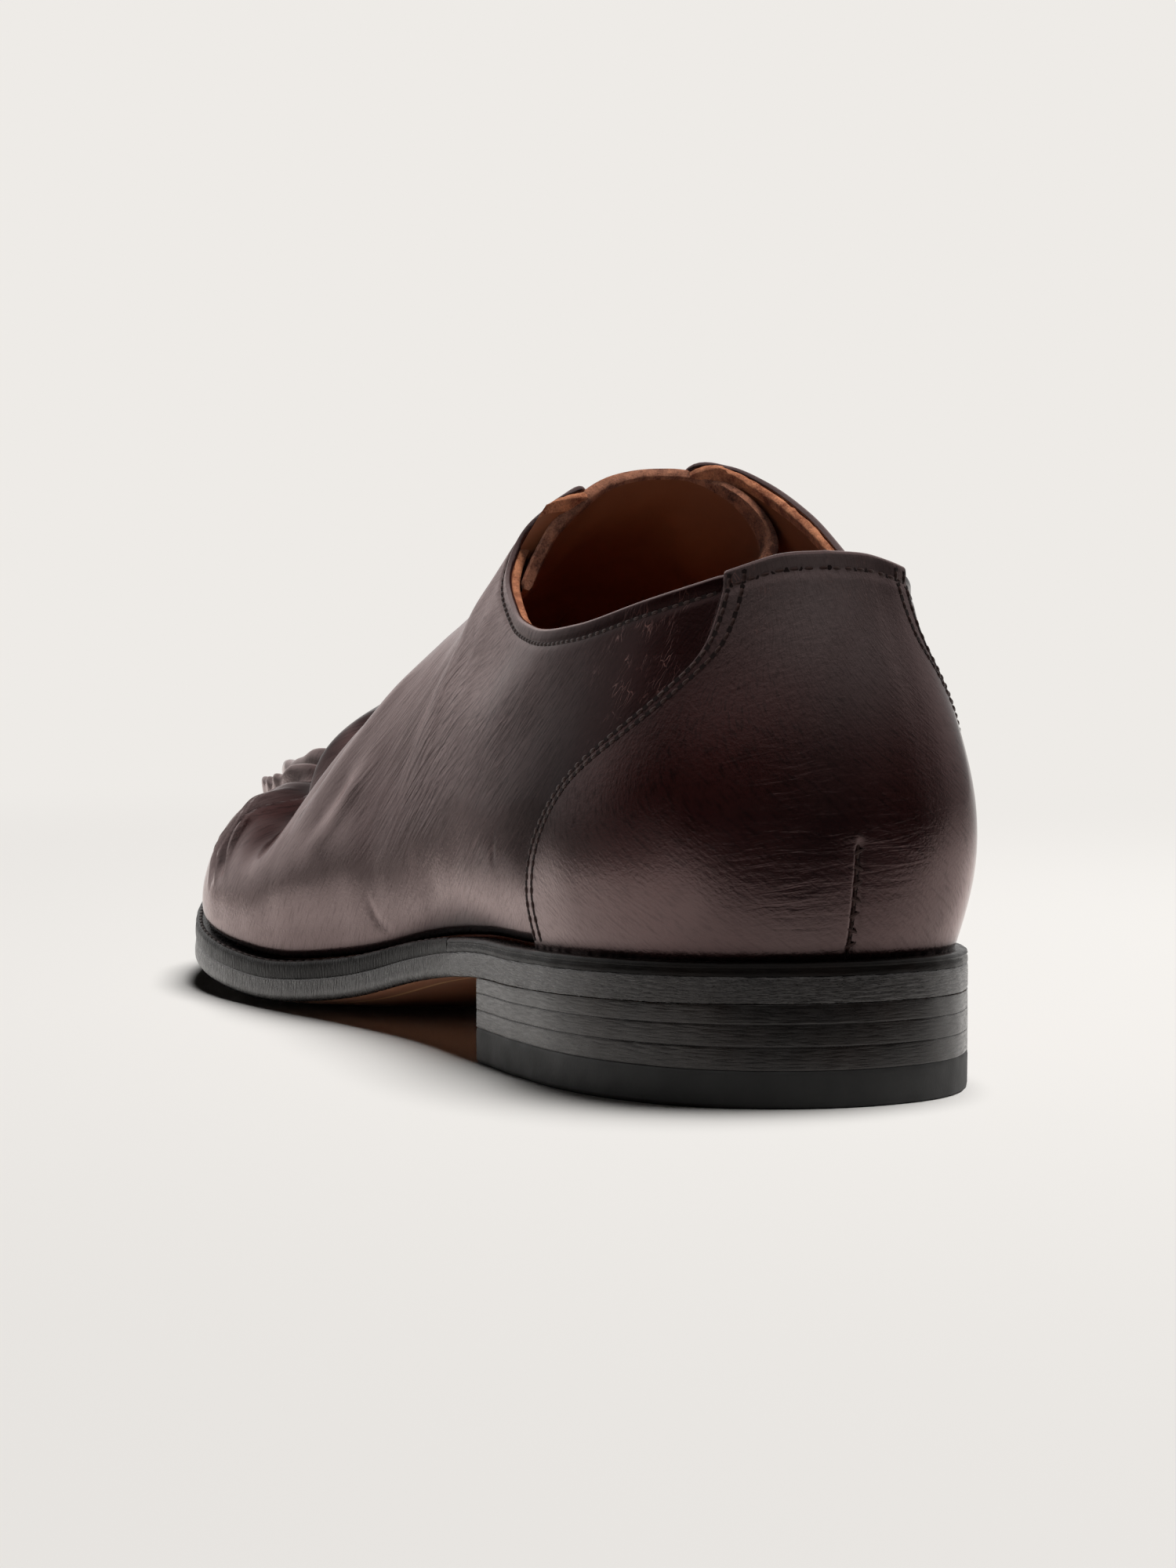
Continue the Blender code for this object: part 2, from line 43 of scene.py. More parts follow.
# the last, in mm: back of the heel at y = 0 on the floor, outer side at -x, one sole row for each place 0 to 15
last = {
    "middle": np.array([-1.68, 144.63, 0.0]),
    "gap": 0.3,
    "outsole": 4.3,
    "breast": 4.84,
    "topPiece": 5.9,
    "liftShares": (0.36, 0.34, 0.30),
    "weltEnd": 5.45,
    "join": 8.2,
    "toe": 15.0,
    "soleNames": ("y", "outer", "inner", "bottom", "crown", "stack", "inset"),
    "soleRows": (
        (0, 0, 0, 16.2, 0, 6.6, 3.4), (4, 15.5, 15.5, 16.1, 0, 6.6, 3.4), (14, 26, 26, 15.8, 0, 6.6, 3.4),
        (32, 33.5, 33.5, 15.3, 0, 6.6, 3.4), (55, 36, 36, 14.6, 0, 6.6, 3.4), (80, 36.2, 34, 13.9, 0, 6.7, 2.8),
        (110, 37, 31, 10.4, 0.8, 7.2, 2.8), (140, 42, 33, 4.6, 1.6, 7.6, 3), (168, 48.7, 39.7, 1.6, 2.4, 7.6, 2.6),
        (192, 52.3, 46.5, 2.2, 2.4, 7.6, 2.1), (214, 52, 49.3, 4, 2, 7.6, 1.8), (236, 47, 47.5, 6.2, 1.4, 7.6, 1.9),
        (257, 38.8, 42.5, 8.8, 1, 7.6, 2.3), (275, 26.5, 33.5, 11.6, 0.6, 7.6, 3), (287, 12, 21, 13.5, 0.3, 7.6, 3),
        (292, -4.5, 4.5, 14.2, 0, 7.6, 3)),
    "topNames": ("at", "x", "y", "z", "lean", "rise", "roll", "reach", "shift"),
    "heelBack": (0, -1, 5.5, 85.8, 21, 28, 82, 24, 0),
    "foreRows": (
        (8.2, 3.5, 159, 74.5, 8, 26, 12, 31, 0), (8.8, 4, 175, 69.5, 8, 26, 10, 32, 0),
        (9.5, 4.5, 192, 63.8, 8, 25, 10, 30, 0), (10, 4.7, 204, 59.4, 8, 24, 11, 27, 0),
        (10.5, 5, 215, 55.8, 8, 23, 11, 26.5, 0), (11, 5, 226, 52.8, 8, 22, 11, 27, 0),
        (11.5, 5, 236, 50.8, 8, 20, 11, 27, 0), (12, 5, 245, 48, 8, 18, 12, 25, 0),
        (13, 5, 257, 44, 8, 15, 15, 20, 0), (14, 5, 264.5, 41, 8, 13, 18, 16, 0), (15, 5, 268, 39.5, 8, 12, 20, 15, 0)),
    "outerRows": (
        (1, -8, 7.5, 85.2, 21, 28, 82, 24, 0), (2, -15.5, 12.5, 82.2, 21, 28, 80, 24, 0),
        (3, -23.5, 26, 78.2, 17, 26, 78, 22, 0), (4, -28, 46, 74.2, 9, 21, 75, 20, 0),
        (5, -27.5, 72, 73.4, 8, 20, 72, 20, 0), (5.6, -25, 90, 76.2, 8, 20, 68, 20, 0),
        (6.1, -21, 106, 83.5, 8, 22, 62, 22, 3), (6.5, -15.5, 109, 91.5, 8, 24, 55, 25.5, 11),
        (6.8, -8, 106, 97.3, 8, 25, 48, 30, 16), (7.1, -4.5, 116, 92, 8, 26, 33, 29.5, 9),
        (7.5, -3.5, 133, 84.5, 8, 26, 20, 30, 2.5), (7.9, -2, 150, 77.5, 8, 26, 14, 31, 0)),
    "innerRows": (
        (1, 6.5, 7.8, 85.2, 21, 28, 82, 24, 0), (2, 14.5, 13, 82.9, 21, 28, 80, 24, 0),
        (3, 22.5, 29, 80.5, 17, 26, 78, 22, 0), (4, 28.5, 52, 80.5, 8, 22, 75, 20, 0),
        (5, 30.5, 74, 84.5, 5, 24, 72, 20, 0), (5.6, 29, 90, 92.5, 4, 26, 68, 20, 0),
        (6.1, 25.5, 103, 98.2, 4, 26, 60, 22, 0), (6.5, 19.5, 107, 101, 5, 26, 54, 26.5, 5),
        (6.8, 13, 107.5, 101, 6, 26, 46, 29.5, 10.5), (7.1, 11, 117, 94.5, 6, 26, 33, 29.5, 7),
        (7.5, 10.3, 134, 85.5, 7, 26, 20, 30, 2.5), (7.9, 8.8, 150.5, 78, 8, 26, 14, 31, 0)),
    "slopeStep": 0.01,
    "crestShare": (0.9, 1.0),  # share of the wall over which both sides turn into one sheet
    "backBunch": 1.7,  # rows on a wall's inside lie closer towards the top
    "uvRound": 700.0,  # mm round the wall, in its uv map
}


def table(names, rows):
    return dict(zip(names, np.array(rows, dtype=float).T))


def smooth(places, values, at):
    places = np.asarray(places, dtype=float)
    values = np.asarray(values, dtype=float)
    at = np.clip(np.asarray(at, dtype=float), places[0], places[-1])
    slopes = np.gradient(values, places)
    index = np.clip(np.searchsorted(places, at, side="right") - 1, 0, len(places) - 2)
    span = places[index + 1] - places[index]
    t = (at - places[index]) / span
    rise = (2 * t**3 - 3 * t**2 + 1) * values[index] + (-2 * t**3 + 3 * t**2) * values[index + 1]
    turn = (t**3 - 2 * t**2 + t) * slopes[index] + (t**3 - t**2) * slopes[index + 1]
    return rise + turn * span


def ease(low, high, value):
    t = np.clip((np.asarray(value, dtype=float) - low) / (high - low), 0.0, 1.0)
    return t * t * (3 - 2 * t)


def bell(value, shape):
    height, centre, half = shape
    return height * np.exp(-((value - centre) / half) ** 2)


def unit(vectors):
    return vectors / np.linalg.norm(vectors, axis=-1, keepdims=True)


def lengths(points):  # running length along a line of points
    return np.concatenate([[0.0], np.cumsum(np.linalg.norm(np.diff(points, axis=0), axis=-1))])


def uvGrid(across, up):
    return np.stack(np.broadcast_arrays(across, up), axis=-1)


soleTable = table(last["soleNames"], last["soleRows"])
tops = {-1: table(last["topNames"], (last["heelBack"],) + last["outerRows"] + last["foreRows"]),
        1: table(last["topNames"], (last["heelBack"],) + last["innerRows"] + last["foreRows"])}
foreTop = table(last["topNames"], last["foreRows"])


def soleValue(name, at):
    return smooth(np.arange(len(last["soleRows"])), soleTable[name], at)


def outline(at, side):
    name, other = ("outer", "inner") if side < 0 else ("inner", "outer")
    places = np.arange(-2, len(last["soleRows"]) + 2)
    across = np.concatenate([-soleTable[other][[2, 1]], soleTable[name], -soleTable[other][[-2, -3]]])
    along = np.concatenate([soleTable["y"][[2, 1]], soleTable["y"], soleTable["y"][[-2, -3]]])
    return np.stack([side * smooth(places, across, at), smooth(places, along, at)], axis=-1)


def outwardOf(at, side):
    step = 2 * last["slopeStep"]
    along = outline(np.asarray(at) + step, side) - outline(np.asarray(at) - step, side)
    return unit(np.stack([along[..., 1], -along[..., 0]], axis=-1) * side)


def insideEdge(at, side, inset):
    return outline(at, side) - outwardOf(at, side) * np.asarray(inset)[..., None]


def topValue(name, at, side):
    rear = smooth(tops[side]["at"], tops[side][name], at)
    return np.where(at < last["join"], rear, smooth(foreTop["at"], foreTop[name], at))


# a point of the wall: place along the last, side, and v from the feather line (0) to the top edge (1)
def section(at, side, v):
    at, v = np.broadcast_arrays(np.asarray(at, dtype=float), np.asarray(v, dtype=float))
    value = {name: topValue(name, at, side) for name in last["topNames"][1:]}
    out = np.concatenate([outwardOf(at, side), np.zeros(at.shape + (1,))], axis=-1)
    lean = np.radians(value["lean"])[..., None]
    roll = np.radians(value["roll"])[..., None]
    height = soleValue("bottom", at) + soleValue("stack", at) + last["gap"]
    foot = np.concatenate([insideEdge(at, side, soleValue("inset", at)), height[..., None]], axis=-1)
    crest = np.stack([value["x"], value["y"], value["z"]], axis=-1)
    first = foot + (out * np.sin(lean) + upward * np.cos(lean)) * value["rise"][..., None]
    final = crest + (out * np.cos(roll) - upward * np.sin(roll)) * value["reach"][..., None]
    final = final + np.array([0.0, 1.0, 0.0]) * value["shift"][..., None]
    v = v[..., None]
    w = 1.0 - v
    return w**3 * foot + 3 * w**2 * v * first + 3 * w * v**2 * final + v**3 * crest


def facing(at, side, v):
    step = last["slopeStep"]
    low = np.clip(v - step, 0.0, 1.0)
    high = np.clip(v + step, 0.0, 1.0)
    along = section(at + step, side, v) - section(at - step, side, v)
    rising = section(at, side, high) - section(at, side, low)
    span = np.linalg.norm(rising, axis=-1) / (high - low)  # mm for each unit of v
    return unit(np.cross(along, rising) * side), unit(rising), span


def evenPlaces(side, start, end, count):
    fine = np.linspace(start, end, 2000)
    run = lengths(outline(fine, side))
    return np.interp(np.linspace(0, run[-1], count), run, fine)


def evenCurve(points, count):
    points = np.asarray(points, dtype=float)
    run = lengths(points)
    where = np.linspace(0, run[-1], count)
    return np.stack([smooth(run, points[:, i], where) for i in range(3)], axis=-1)


def linear(colour):
    parts = [int(colour[i:i + 2], 16) / 255 for i in (1, 3, 5)]
    return tuple(p / 12.92 if p <= 0.04045 else ((p + 0.055) / 1.055) ** 2.4 for p in parts) + (1.0,)


def addNode(tree, kind, inputs=None, **settings):
    made = tree.nodes.new(kind)
    for key, value in settings.items():
        setattr(made, key, value)
    for key, value in (inputs or {}).items():
        if isinstance(value, bpy.types.NodeSocket):
            tree.links.new(value, made.inputs[key])
        else:
            made.inputs[key].default_value = value
    return made


def noise(tree, where, scale, detail=2.0, **more):
    inputs = {"Vector": where, "Scale": scale, "Detail": detail, **more}
    return addNode(tree, "ShaderNodeTexNoise", inputs).outputs[0]


def stretched(tree, where, scale, turn=0.0, kind="POINT"):
    inputs = {"Vector": where, "Scale": (*scale, 1.0), "Rotation": (0.0, 0.0, turn)}
    return addNode(tree, "ShaderNodeMapping", inputs, vector_type=kind).outputs[0]


def ranged(tree, value, start, end, low=0.0, high=1.0, soft=False):
    inputs = {"Value": value, "From Min": start, "From Max": end, "To Min": low, "To Max": high}
    kind = "SMOOTHSTEP" if soft else "LINEAR"
    return addNode(tree, "ShaderNodeMapRange", inputs, interpolation_type=kind).outputs[0]


def mixed(tree, share, *colours):
    first, second = [linear(c) if isinstance(c, str) else c for c in colours]
    return addNode(tree, "ShaderNodeMix", {0: share, 6: first, 7: second}, data_type="RGBA").outputs[2]


def maths(tree, operation, *values, clamp=False):
    return addNode(tree, "ShaderNodeMath", dict(enumerate(values)), operation=operation, use_clamp=clamp).outputs[0]


def marked(tree, name):
    return addNode(tree, "ShaderNodeAttribute", attribute_name=name).outputs["Fac"]


def bumped(tree, height, strength, depth, under=None, invert=False):
    inputs = {"Height": height, "Strength": strength, "Distance": depth * mm}
    if under:
        inputs["Normal"] = under
    return addNode(tree, "ShaderNodeBump", inputs, invert=invert).outputs[0]


def newMaterial(name):
    made = bpy.data.materials.new(name)
    made.use_nodes = True
    made.node_tree.nodes.clear()
    made.node_tree.nodes.new("ShaderNodeOutputMaterial")
    return made, made.node_tree, addNode(made.node_tree, "ShaderNodeTexCoord").outputs


def surfaced(made, shader):
    made.node_tree.links.new(shader.outputs[0], made.node_tree.nodes["Material Output"].inputs["Surface"])
    return made


def principled(made, colour, rough, normal, **more):
    inputs = {"Base Color": colour, "Roughness": rough, "Normal": normal}
    return surfaced(made, addNode(made.node_tree, "ShaderNodeBsdfPrincipled", {**inputs, **more}))


def select(piece):
    if bpy.context.object and bpy.context.object.mode != "OBJECT":
        bpy.ops.object.mode_set(mode="OBJECT")
    bpy.ops.object.select_all(action="DESELECT")
    piece.select_set(True)
    bpy.context.view_layer.objects.active = piece


def closeUp(weld, fill):
    bpy.ops.object.mode_set(mode="EDIT")
    bpy.ops.mesh.select_all(action="SELECT")
    bpy.ops.mesh.remove_doubles(threshold=weld * mm)
    if fill:
        bpy.ops.mesh.fill_holes(sides=0)
    bpy.ops.mesh.select_all(action="SELECT")
    bpy.ops.mesh.normals_make_consistent(inside=False)
    bpy.ops.object.mode_set(mode="OBJECT")


# a grid primitive whose points go where the surface says, with its own uv map in mm
def gridPiece(name, points, uv, marks=None, faceSlots=None, gone=None, fill=False, angle=40):
    rows, columns = points.shape[:2]
    bpy.ops.object.select_all(action="DESELECT")
    bpy.ops.mesh.primitive_grid_add(x_subdivisions=columns - 1, y_subdivisions=rows - 1, size=1)
    piece = bpy.context.object
    piece.name = name
    piece.data.name = name
    data = piece.data
    data.vertices.foreach_set("co", ((points - last["middle"]) * mm).reshape(-1))
    corners = np.empty(len(data.loops), dtype=np.int32)
    data.loops.foreach_get("vertex_index", corners)
    data.uv_layers.active.data.foreach_set("uv", (uv * mm).reshape(-1, 2)[corners].reshape(-1))
    for mark, value in (marks or {}).items():
        data.attributes.new(mark, "FLOAT", "POINT").data.foreach_set("value", value.reshape(-1).astype(np.float32))
    if faceSlots is not None:
        data.polygons.foreach_set("material_index", faceSlots.reshape(-1).astype(np.int32))
    select(piece)
    if gone is not None:
        bpy.ops.object.mode_set(mode="EDIT")
        bpy.ops.mesh.select_mode(type="FACE")
        bpy.ops.mesh.select_all(action="DESELECT")
        bpy.ops.object.mode_set(mode="OBJECT")
        data.polygons.foreach_set("select", gone.reshape(-1))
        bpy.ops.object.mode_set(mode="EDIT")
        bpy.ops.mesh.delete(type="FACE")
        bpy.ops.mesh.select_mode(type="VERT")
        bpy.ops.object.mode_set(mode="OBJECT")
    closeUp(0.004, fill)
    bpy.ops.object.shade_smooth_by_angle(angle=math.radians(angle))
    return piece


def dress(piece, slot, *looks, nodes=()):
    for look in looks:
        piece.data.materials.append(look)
    if nodes:
        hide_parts(*nodes)
    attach(piece, "root")


# camera: the photograph's place and lens, level roll
cameraValues = {"place": (-244.355, -771.08, 86.213), "heading": 18.104, "pitch": 3.079, "lens": 100.656}
camera = bpy.data.objects.new("camera", bpy.data.cameras.new("camera"))
bpy.context.scene.collection.objects.link(camera)
heading, pitch = math.radians(cameraValues["heading"]), math.radians(cameraValues["pitch"])
lookAlong = Vector((math.sin(heading) * math.cos(pitch), math.cos(heading) * math.cos(pitch), -math.sin(pitch)))
camera.location = Vector(cameraValues["place"]) * mm
camera.rotation_euler = lookAlong.to_track_quat("-Z", "Y").to_euler()
camera.data.lens = cameraValues["lens"]
camera.data.sensor_width = 36.0
camera.data.clip_start = 0.01
camera.data.clip_end = 50.0
bpy.context.scene.camera = camera
print("camera placed")


# studio: pale floor that melts into the backdrop, one overhead lamp, and a room that shows only in the gloss:
# white above and beyond the toe, dark at the horizon and on the camera's side
studio = {
    "backdrop": "#EEEBE7", "floor": "#EDEAE6", "floorRadius": 12, "fade": (0.22, 0.8), "white": (1.0, 0.98, 0.965, 1.0),
    "roomLight": 0.85, "cameraSide": (-0.5, 0.1), "horizon": (0.46, 0.02), "lowEdge": (0.0, 0.2), "highEdge": (0.2, 0.8),
    "topLight": 57.5, "lampPlace": (0.5, 0.0, 2.2), "lampSize": 1.1, "nearPaper": 0.25, "beside": (-0.07, -0.05),
    "paperLeft": (-0.20, -0.10), "leftShare": 0.25, "paperBack": (-0.23, -0.15),
}
bpy.context.scene.view_settings.view_transform = "Standard"
room = bpy.data.worlds.new("studio_room")
bpy.context.scene.world = room
room.use_nodes = True
room.cycles_visibility.diffuse = False
tree = room.node_tree
tree.nodes.clear()
way = addNode(tree, "ShaderNodeTexCoord").outputs["Generated"]
towards = addNode(tree, "ShaderNodeVectorMath", {0: way, 1: (-math.sin(heading), -math.cos(heading), 0.0)},
                  operation="DOT_PRODUCT")
behind = ranged(tree, towards.outputs["Value"], *studio["cameraSide"], soft=True)
low, high, dim = [ranged(tree, behind, 0.0, 1.0, *studio[name]) for name in ("lowEdge", "highEdge", "horizon")]
climb = addNode(tree, "ShaderNodeSeparateXYZ", {0: way}).outputs["Z"]
bright = ranged(tree, climb, low, high, dim, studio["roomLight"], soft=True)
lit = addNode(tree, "ShaderNodeBackground", {"Color": studio["white"], "Strength": bright})
seen = addNode(tree, "ShaderNodeBackground", {"Color": linear(studio["backdrop"]), "Strength": 1.0})
cameraRay = addNode(tree, "ShaderNodeLightPath").outputs["Is Camera Ray"]
both = addNode(tree, "ShaderNodeMixShader", {0: cameraRay, 1: lit.outputs[0], 2: seen.outputs[0]})
addNode(tree, "ShaderNodeOutputWorld", {"Surface": both.outputs[0]})

bpy.ops.object.select_all(action="DESELECT")
bpy.ops.mesh.primitive_circle_add(vertices=96, radius=studio["floorRadius"], fill_type="NGON")
floor = bpy.context.object
floor.name = "studio_floor"
paper, tree, where = newMaterial("matt_paper_floor")
far = addNode(tree, "ShaderNodeVectorMath", {0: where["Object"]}, operation="LENGTH").outputs["Value"]
matt = addNode(tree, "ShaderNodeBsdfDiffuse", {"Color": linear(studio["floor"])})
glowing = addNode(tree, "ShaderNodeEmission", {"Color": linear(studio["backdrop"]), "Strength": 1.0})
fade = ranged(tree, far, *studio["fade"], soft=True)
blend = addNode(tree, "ShaderNodeMixShader", {0: fade, 1: matt.outputs[0], 2: glowing.outputs[0]})
# for gloss rays only the floor is painted: dark gloom beyond a patch of lit paper, and a painted glow beside the shoe
# that brightens the low walls' reflections
glossRay = addNode(tree, "ShaderNodeLightPath").outputs["Is Glossy Ray"]
spot = addNode(tree, "ShaderNodeSeparateXYZ", {0: where["Object"]}).outputs
leftward = ranged(tree, spot["X"], *studio["paperLeft"], low=studio["leftShare"], soft=True)
backward = ranged(tree, spot["Y"], *studio["paperBack"], soft=True)
paperShare = maths(tree, "MULTIPLY", leftward, backward)
mirrored = maths(tree, "MULTIPLY", maths(tree, "SUBTRACT", 1.0, paperShare), glossRay)
gloom = addNode(tree, "ShaderNodeEmission", {"Color": (studio["horizon"][1],) * 3 + (1.0,), "Strength": 1.0})
shown = addNode(tree, "ShaderNodeMixShader", {0: mirrored, 1: blend.outputs[0], 2: gloom.outputs[0]})
beside = ranged(tree, spot["X"], *studio["beside"], low=studio["nearPaper"], high=0.0)
nearLight = maths(tree, "MULTIPLY", maths(tree, "MULTIPLY", paperShare, glossRay), beside)
bounce = addNode(tree, "ShaderNodeEmission", {"Color": linear(studio["backdrop"]), "Strength": nearLight})
summed = addNode(tree, "ShaderNodeAddShader", {0: shown.outputs[0], 1: bounce.outputs[0]})
floor.data.materials.append(surfaced(paper, summed))

lamp = bpy.data.objects.new("overhead_lamp", bpy.data.lights.new("overhead_lamp", "AREA"))
bpy.context.scene.collection.objects.link(lamp)
lamp.location = studio["lampPlace"]
lamp.data.shape = "DISK"
lamp.data.size = studio["lampSize"]
lamp.data.energy = studio["topLight"]
lamp.visible_glossy = False
print("studio lit")


# polished calf, dyed oxblood and burnished by hand: fine pulled grain, cloudy colour, wax gloss over it; painted
# highlights in pale grey and painted shade as a darker tint of the gloss, in patches; sizes in mm, the grain drawn
# coarser than real so that it shows
calfValues = {
    "deep": "#160B0C", "brown": "#251314", "red": "#4A1A17", "worn": "#8A5F54", "painted_highlight": "#716B6B",
    "painted_shade": "#9C8E8E", "bare": "#FFF6F5", "gloss": (1.0, 0.78, 0.77, 1.0), "rough": (0.17, 0.26),
    "cloud": 16.0, "cloudEnds": (0.34, 0.68), "grain": 0.7, "streak": (3.0, 0.5), "crease": (10.0, 1.5), "slant": 2.4,
    "wrinkle": (6.0, 1.3), "wrinkleSlant": 0.12, "pull": 0.34, "pullEnds": (0.5, 0.7), "pullDark": 0.6, "pullHeight": 0.5,
    "crackle": 1.2, "crackleShape": (1.0, 2.8), "crackleSlant": 0.25, "crackleBend": (2.0, 0.0012), "crackleLine": 0.05,
    "patch": 4.0, "patchEnds": (0.45, 0.65), "fineBump": (0.42, 0.13), "foldBump": (0.8, 0.35), "crackBump": (0.5, 0.08),
}


def calfMaterial():
    made, tree, where = newMaterial("burnished_calf")
    value = calfValues
    place, uv = where["Object"], where["UV"]
    cloud = noise(tree, place, 1000 / value["cloud"], 4.0, Roughness=0.6)
    base = addNode(tree, "ShaderNodeValToRGB", {0: cloud})
    for end, position, colour in zip(base.color_ramp.elements, value["cloudEnds"], (value["deep"], value["brown"])):
        end.position, end.color = position, linear(colour)
    redder = mixed(tree, marked(tree, "glow"), base.outputs[0], value["red"])
    turned = stretched(tree, uv, value["crackleShape"], value["crackleSlant"], "TEXTURE")
    size, bend = value["crackleBend"]
    warp = addNode(tree, "ShaderNodeTexNoise", {"Vector": uv, "Scale": 1000 / size, "Detail": 2.0}).outputs["Color"]
    bent = addNode(tree, "ShaderNodeVectorMath", {0: warp, 1: (bend, bend, 0.0)}, operation="MULTIPLY")
    moved = addNode(tree, "ShaderNodeVectorMath", {0: turned, 1: bent.outputs[0]}, operation="ADD")
    crack = addNode(tree, "ShaderNodeTexVoronoi", {"Vector": moved.outputs[0], "Scale": 1000 / value["crackle"]},
                    feature="DISTANCE_TO_EDGE")
    line = ranged(tree, crack.outputs["Distance"], 0.0, value["crackleLine"], 1.0, 0.0)
    patchy = ranged(tree, noise(tree, place, 1000 / value["patch"], 3.0), *value["patchEnds"])
    showing = maths(tree, "MULTIPLY", maths(tree, "MULTIPLY", line, patchy), marked(tree, "scuff"))
    slants = (("streak", "slant"), ("crease", "slant"), ("wrinkle", "wrinkleSlant"))
    drawn, slanted, folded = [stretched(tree, uv, (value[name][0] * mm, value[name][1] * mm), value[turn], "TEXTURE")
                              for name, turn in slants]
    pulled = noise(tree, drawn, 1.0, 3.0)
    streaky = ranged(tree, pulled, *value["pullEnds"], 0.0, value["pullDark"])
    drawnOut = mixed(tree, streaky, redder, value["deep"])
    # painted highlight: pale grey mixed into the colour where the highlight mark is set
    highlighted = mixed(tree, marked(tree, "painted_highlight"), drawnOut, value["painted_highlight"])
    colour = mixed(tree, showing, highlighted, value["worn"])
    grain = noise(tree, place, 1000 / value["grain"], 3.0, Roughness=0.65)
    height = maths(tree, "MULTIPLY_ADD", pulled, value["pullHeight"], grain)
    wrinkled = maths(tree, "MULTIPLY", noise(tree, folded, 1.0, 4.0, Distortion=0.6), marked(tree, "wrinkle"))
    tugged = noise(tree, slanted, 1.0, 3.0, Distortion=0.8)
    foldHere = maths(tree, "MULTIPLY_ADD", tugged, marked(tree, "crease"), wrinkled)
    normal = bumped(tree, height, *value["fineBump"])
    normal = bumped(tree, foldHere, *value["foldBump"], under=normal)
    normal = bumped(tree, showing, *value["crackBump"], under=normal, invert=True)
    # painted shade: a darker coat tint dims colour and gloss where the shade mark is set; the pulled streaks tint it a
    # little too
    shadeHere = maths(tree, "MULTIPLY", marked(tree, "painted_shade"), maths(tree, "SUBTRACT", 1.0, showing))
    streakAndShade = maths(tree, "MULTIPLY_ADD", streaky, value["pull"], shadeHere, clamp=True)
    return principled(made, colour, ranged(tree, cloud, 0.3, 0.7, *value["rough"]), normal, **{
        "IOR": 1.8, "Specular Tint": value["gloss"], "Coat Weight": 1.0, "Coat IOR": 1.06, "Coat Roughness": 0.12,
        "Coat Tint": mixed(tree, streakAndShade, value["bare"], value["painted_shade"])})


# leathers and rubber of one cloudy colour, matt, with faint pores or grit: vegetable tanned lining, moulded heel rubber
def plainMaterial(name, dark, light, cloud, detail, pore, strength, depth, rough):
    made, tree, where = newMaterial(name)
    cloudy = noise(tree, where["Object"], 1000 / cloud, detail)
    normal = bumped(tree, noise(tree, where["Object"], 1000 / pore, 4.0), strength, depth)
    if isinstance(rough, tuple):
        rough = ranged(tree, cloudy, 0.3, 0.7, *rough)
    return principled(made, mixed(tree, cloudy, dark, light), rough, normal)


# cut edge of leather: loose orange fibres, drawn coarser than real, no gloss
def rawMaterial(name, light, deep, fibre=0.35, clump=2.5):
    made, tree, where = newMaterial(name)
    fibres = noise(tree, where["Object"], 1000 / fibre, 5.0, Roughness=0.7)
    loose = maths(tree, "ADD", fibres, noise(tree, where["Object"], 1000 / clump, 2.0))
    colour = mixed(tree, ranged(tree, loose, 0.75, 1.2), deep, light)
    return principled(made, colour, 0.9, bumped(tree, loose, 0.9, 0.3))


# sanded leather edge, inked black and waxed: fibres along the heel, upright burnishing marks at the forepart
edgeValues = {"ink": "#080707", "grey": "#191716", "brown": "#231813", "fibre": (0.4, 3.5), "upright": (0.7, 1.6),
              "patch": 11.0, "patchEnds": (0.4, 0.75), "rough": (0.2, 0.34), "gloss": (1.0, 0.955, 0.945, 1.0)}


def edgeMaterial(name, brownShare, upright, gloss, depth):
    made, tree, where = newMaterial(name)
    thin, long = 1000 / edgeValues["fibre"][0], 1000 / edgeValues["fibre"][1]
    flat = noise(tree, stretched(tree, where["UV"], (long, thin)), 1.0, 4.0)
    wider, shorter = edgeValues["upright"]
    tall = noise(tree, stretched(tree, where["UV"], (thin * wider, long * shorter)), 1.0, 4.0)
    front = marked(tree, "front") if upright else 0.0
    marks = addNode(tree, "ShaderNodeMix", {0: front, 2: flat, 3: tall}, data_type="FLOAT").outputs[0]
    patch = noise(tree, where["Object"], 1000 / edgeValues["patch"], 4.0)
    inked = mixed(tree, marks, edgeValues["ink"], edgeValues["grey"])
    colour = mixed(tree, ranged(tree, patch, *edgeValues["patchEnds"], 0.0, brownShare), inked, edgeValues["brown"])
    rough = ranged(tree, marks, 0.3, 0.7, *edgeValues["rough"])
    return principled(made, colour, rough, bumped(tree, marks, 0.9, depth),
                      **{"IOR": gloss, "Specular Tint": edgeValues["gloss"]})


# sole leather, stained red brown, with a pale line painted along the closed stitch channel as the highlight on its
# ridge; the forepart is painted darker, as shade under the toe
bottomValues = {"stain": "#C88C6C", "dark": "#9C6C52", "toeShade": "#1C1614", "toeShadeFrom": (-0.02, 0.03),
                "channelHighlight": "#FFD0A0", "channelAt": 5.2, "channelHalf": 0.7, "cloud": 14.0, "grain": 0.6}


def bottomMaterial():
    made, tree, where = newMaterial("stained_sole_leather")
    value = bottomValues
    stain = mixed(tree, noise(tree, where["Object"], 1000 / value["cloud"], 5.0), value["dark"], value["stain"])
    away = maths(tree, "ABSOLUTE", maths(tree, "SUBTRACT", marked(tree, "inset"), value["channelAt"]))
    # painted highlight: a pale line along the closed stitch channel
    withChannelHighlight = mixed(tree, ranged(tree, away, 0.0, value["channelHalf"], 1.0, 0.0), stain, value["channelHighlight"])
    along = addNode(tree, "ShaderNodeSeparateXYZ", {0: where["Object"]}).outputs["Y"]
    # painted shade: the forepart darker, so the floor under the toe takes no brown bounce
    colour = mixed(tree, ranged(tree, along, *value["toeShadeFrom"]), withChannelHighlight, value["toeShade"])
    return principled(made, colour, 0.5, bumped(tree, noise(tree, where["Object"], 1000 / value["grain"], 4.0), 0.4, 0.1))


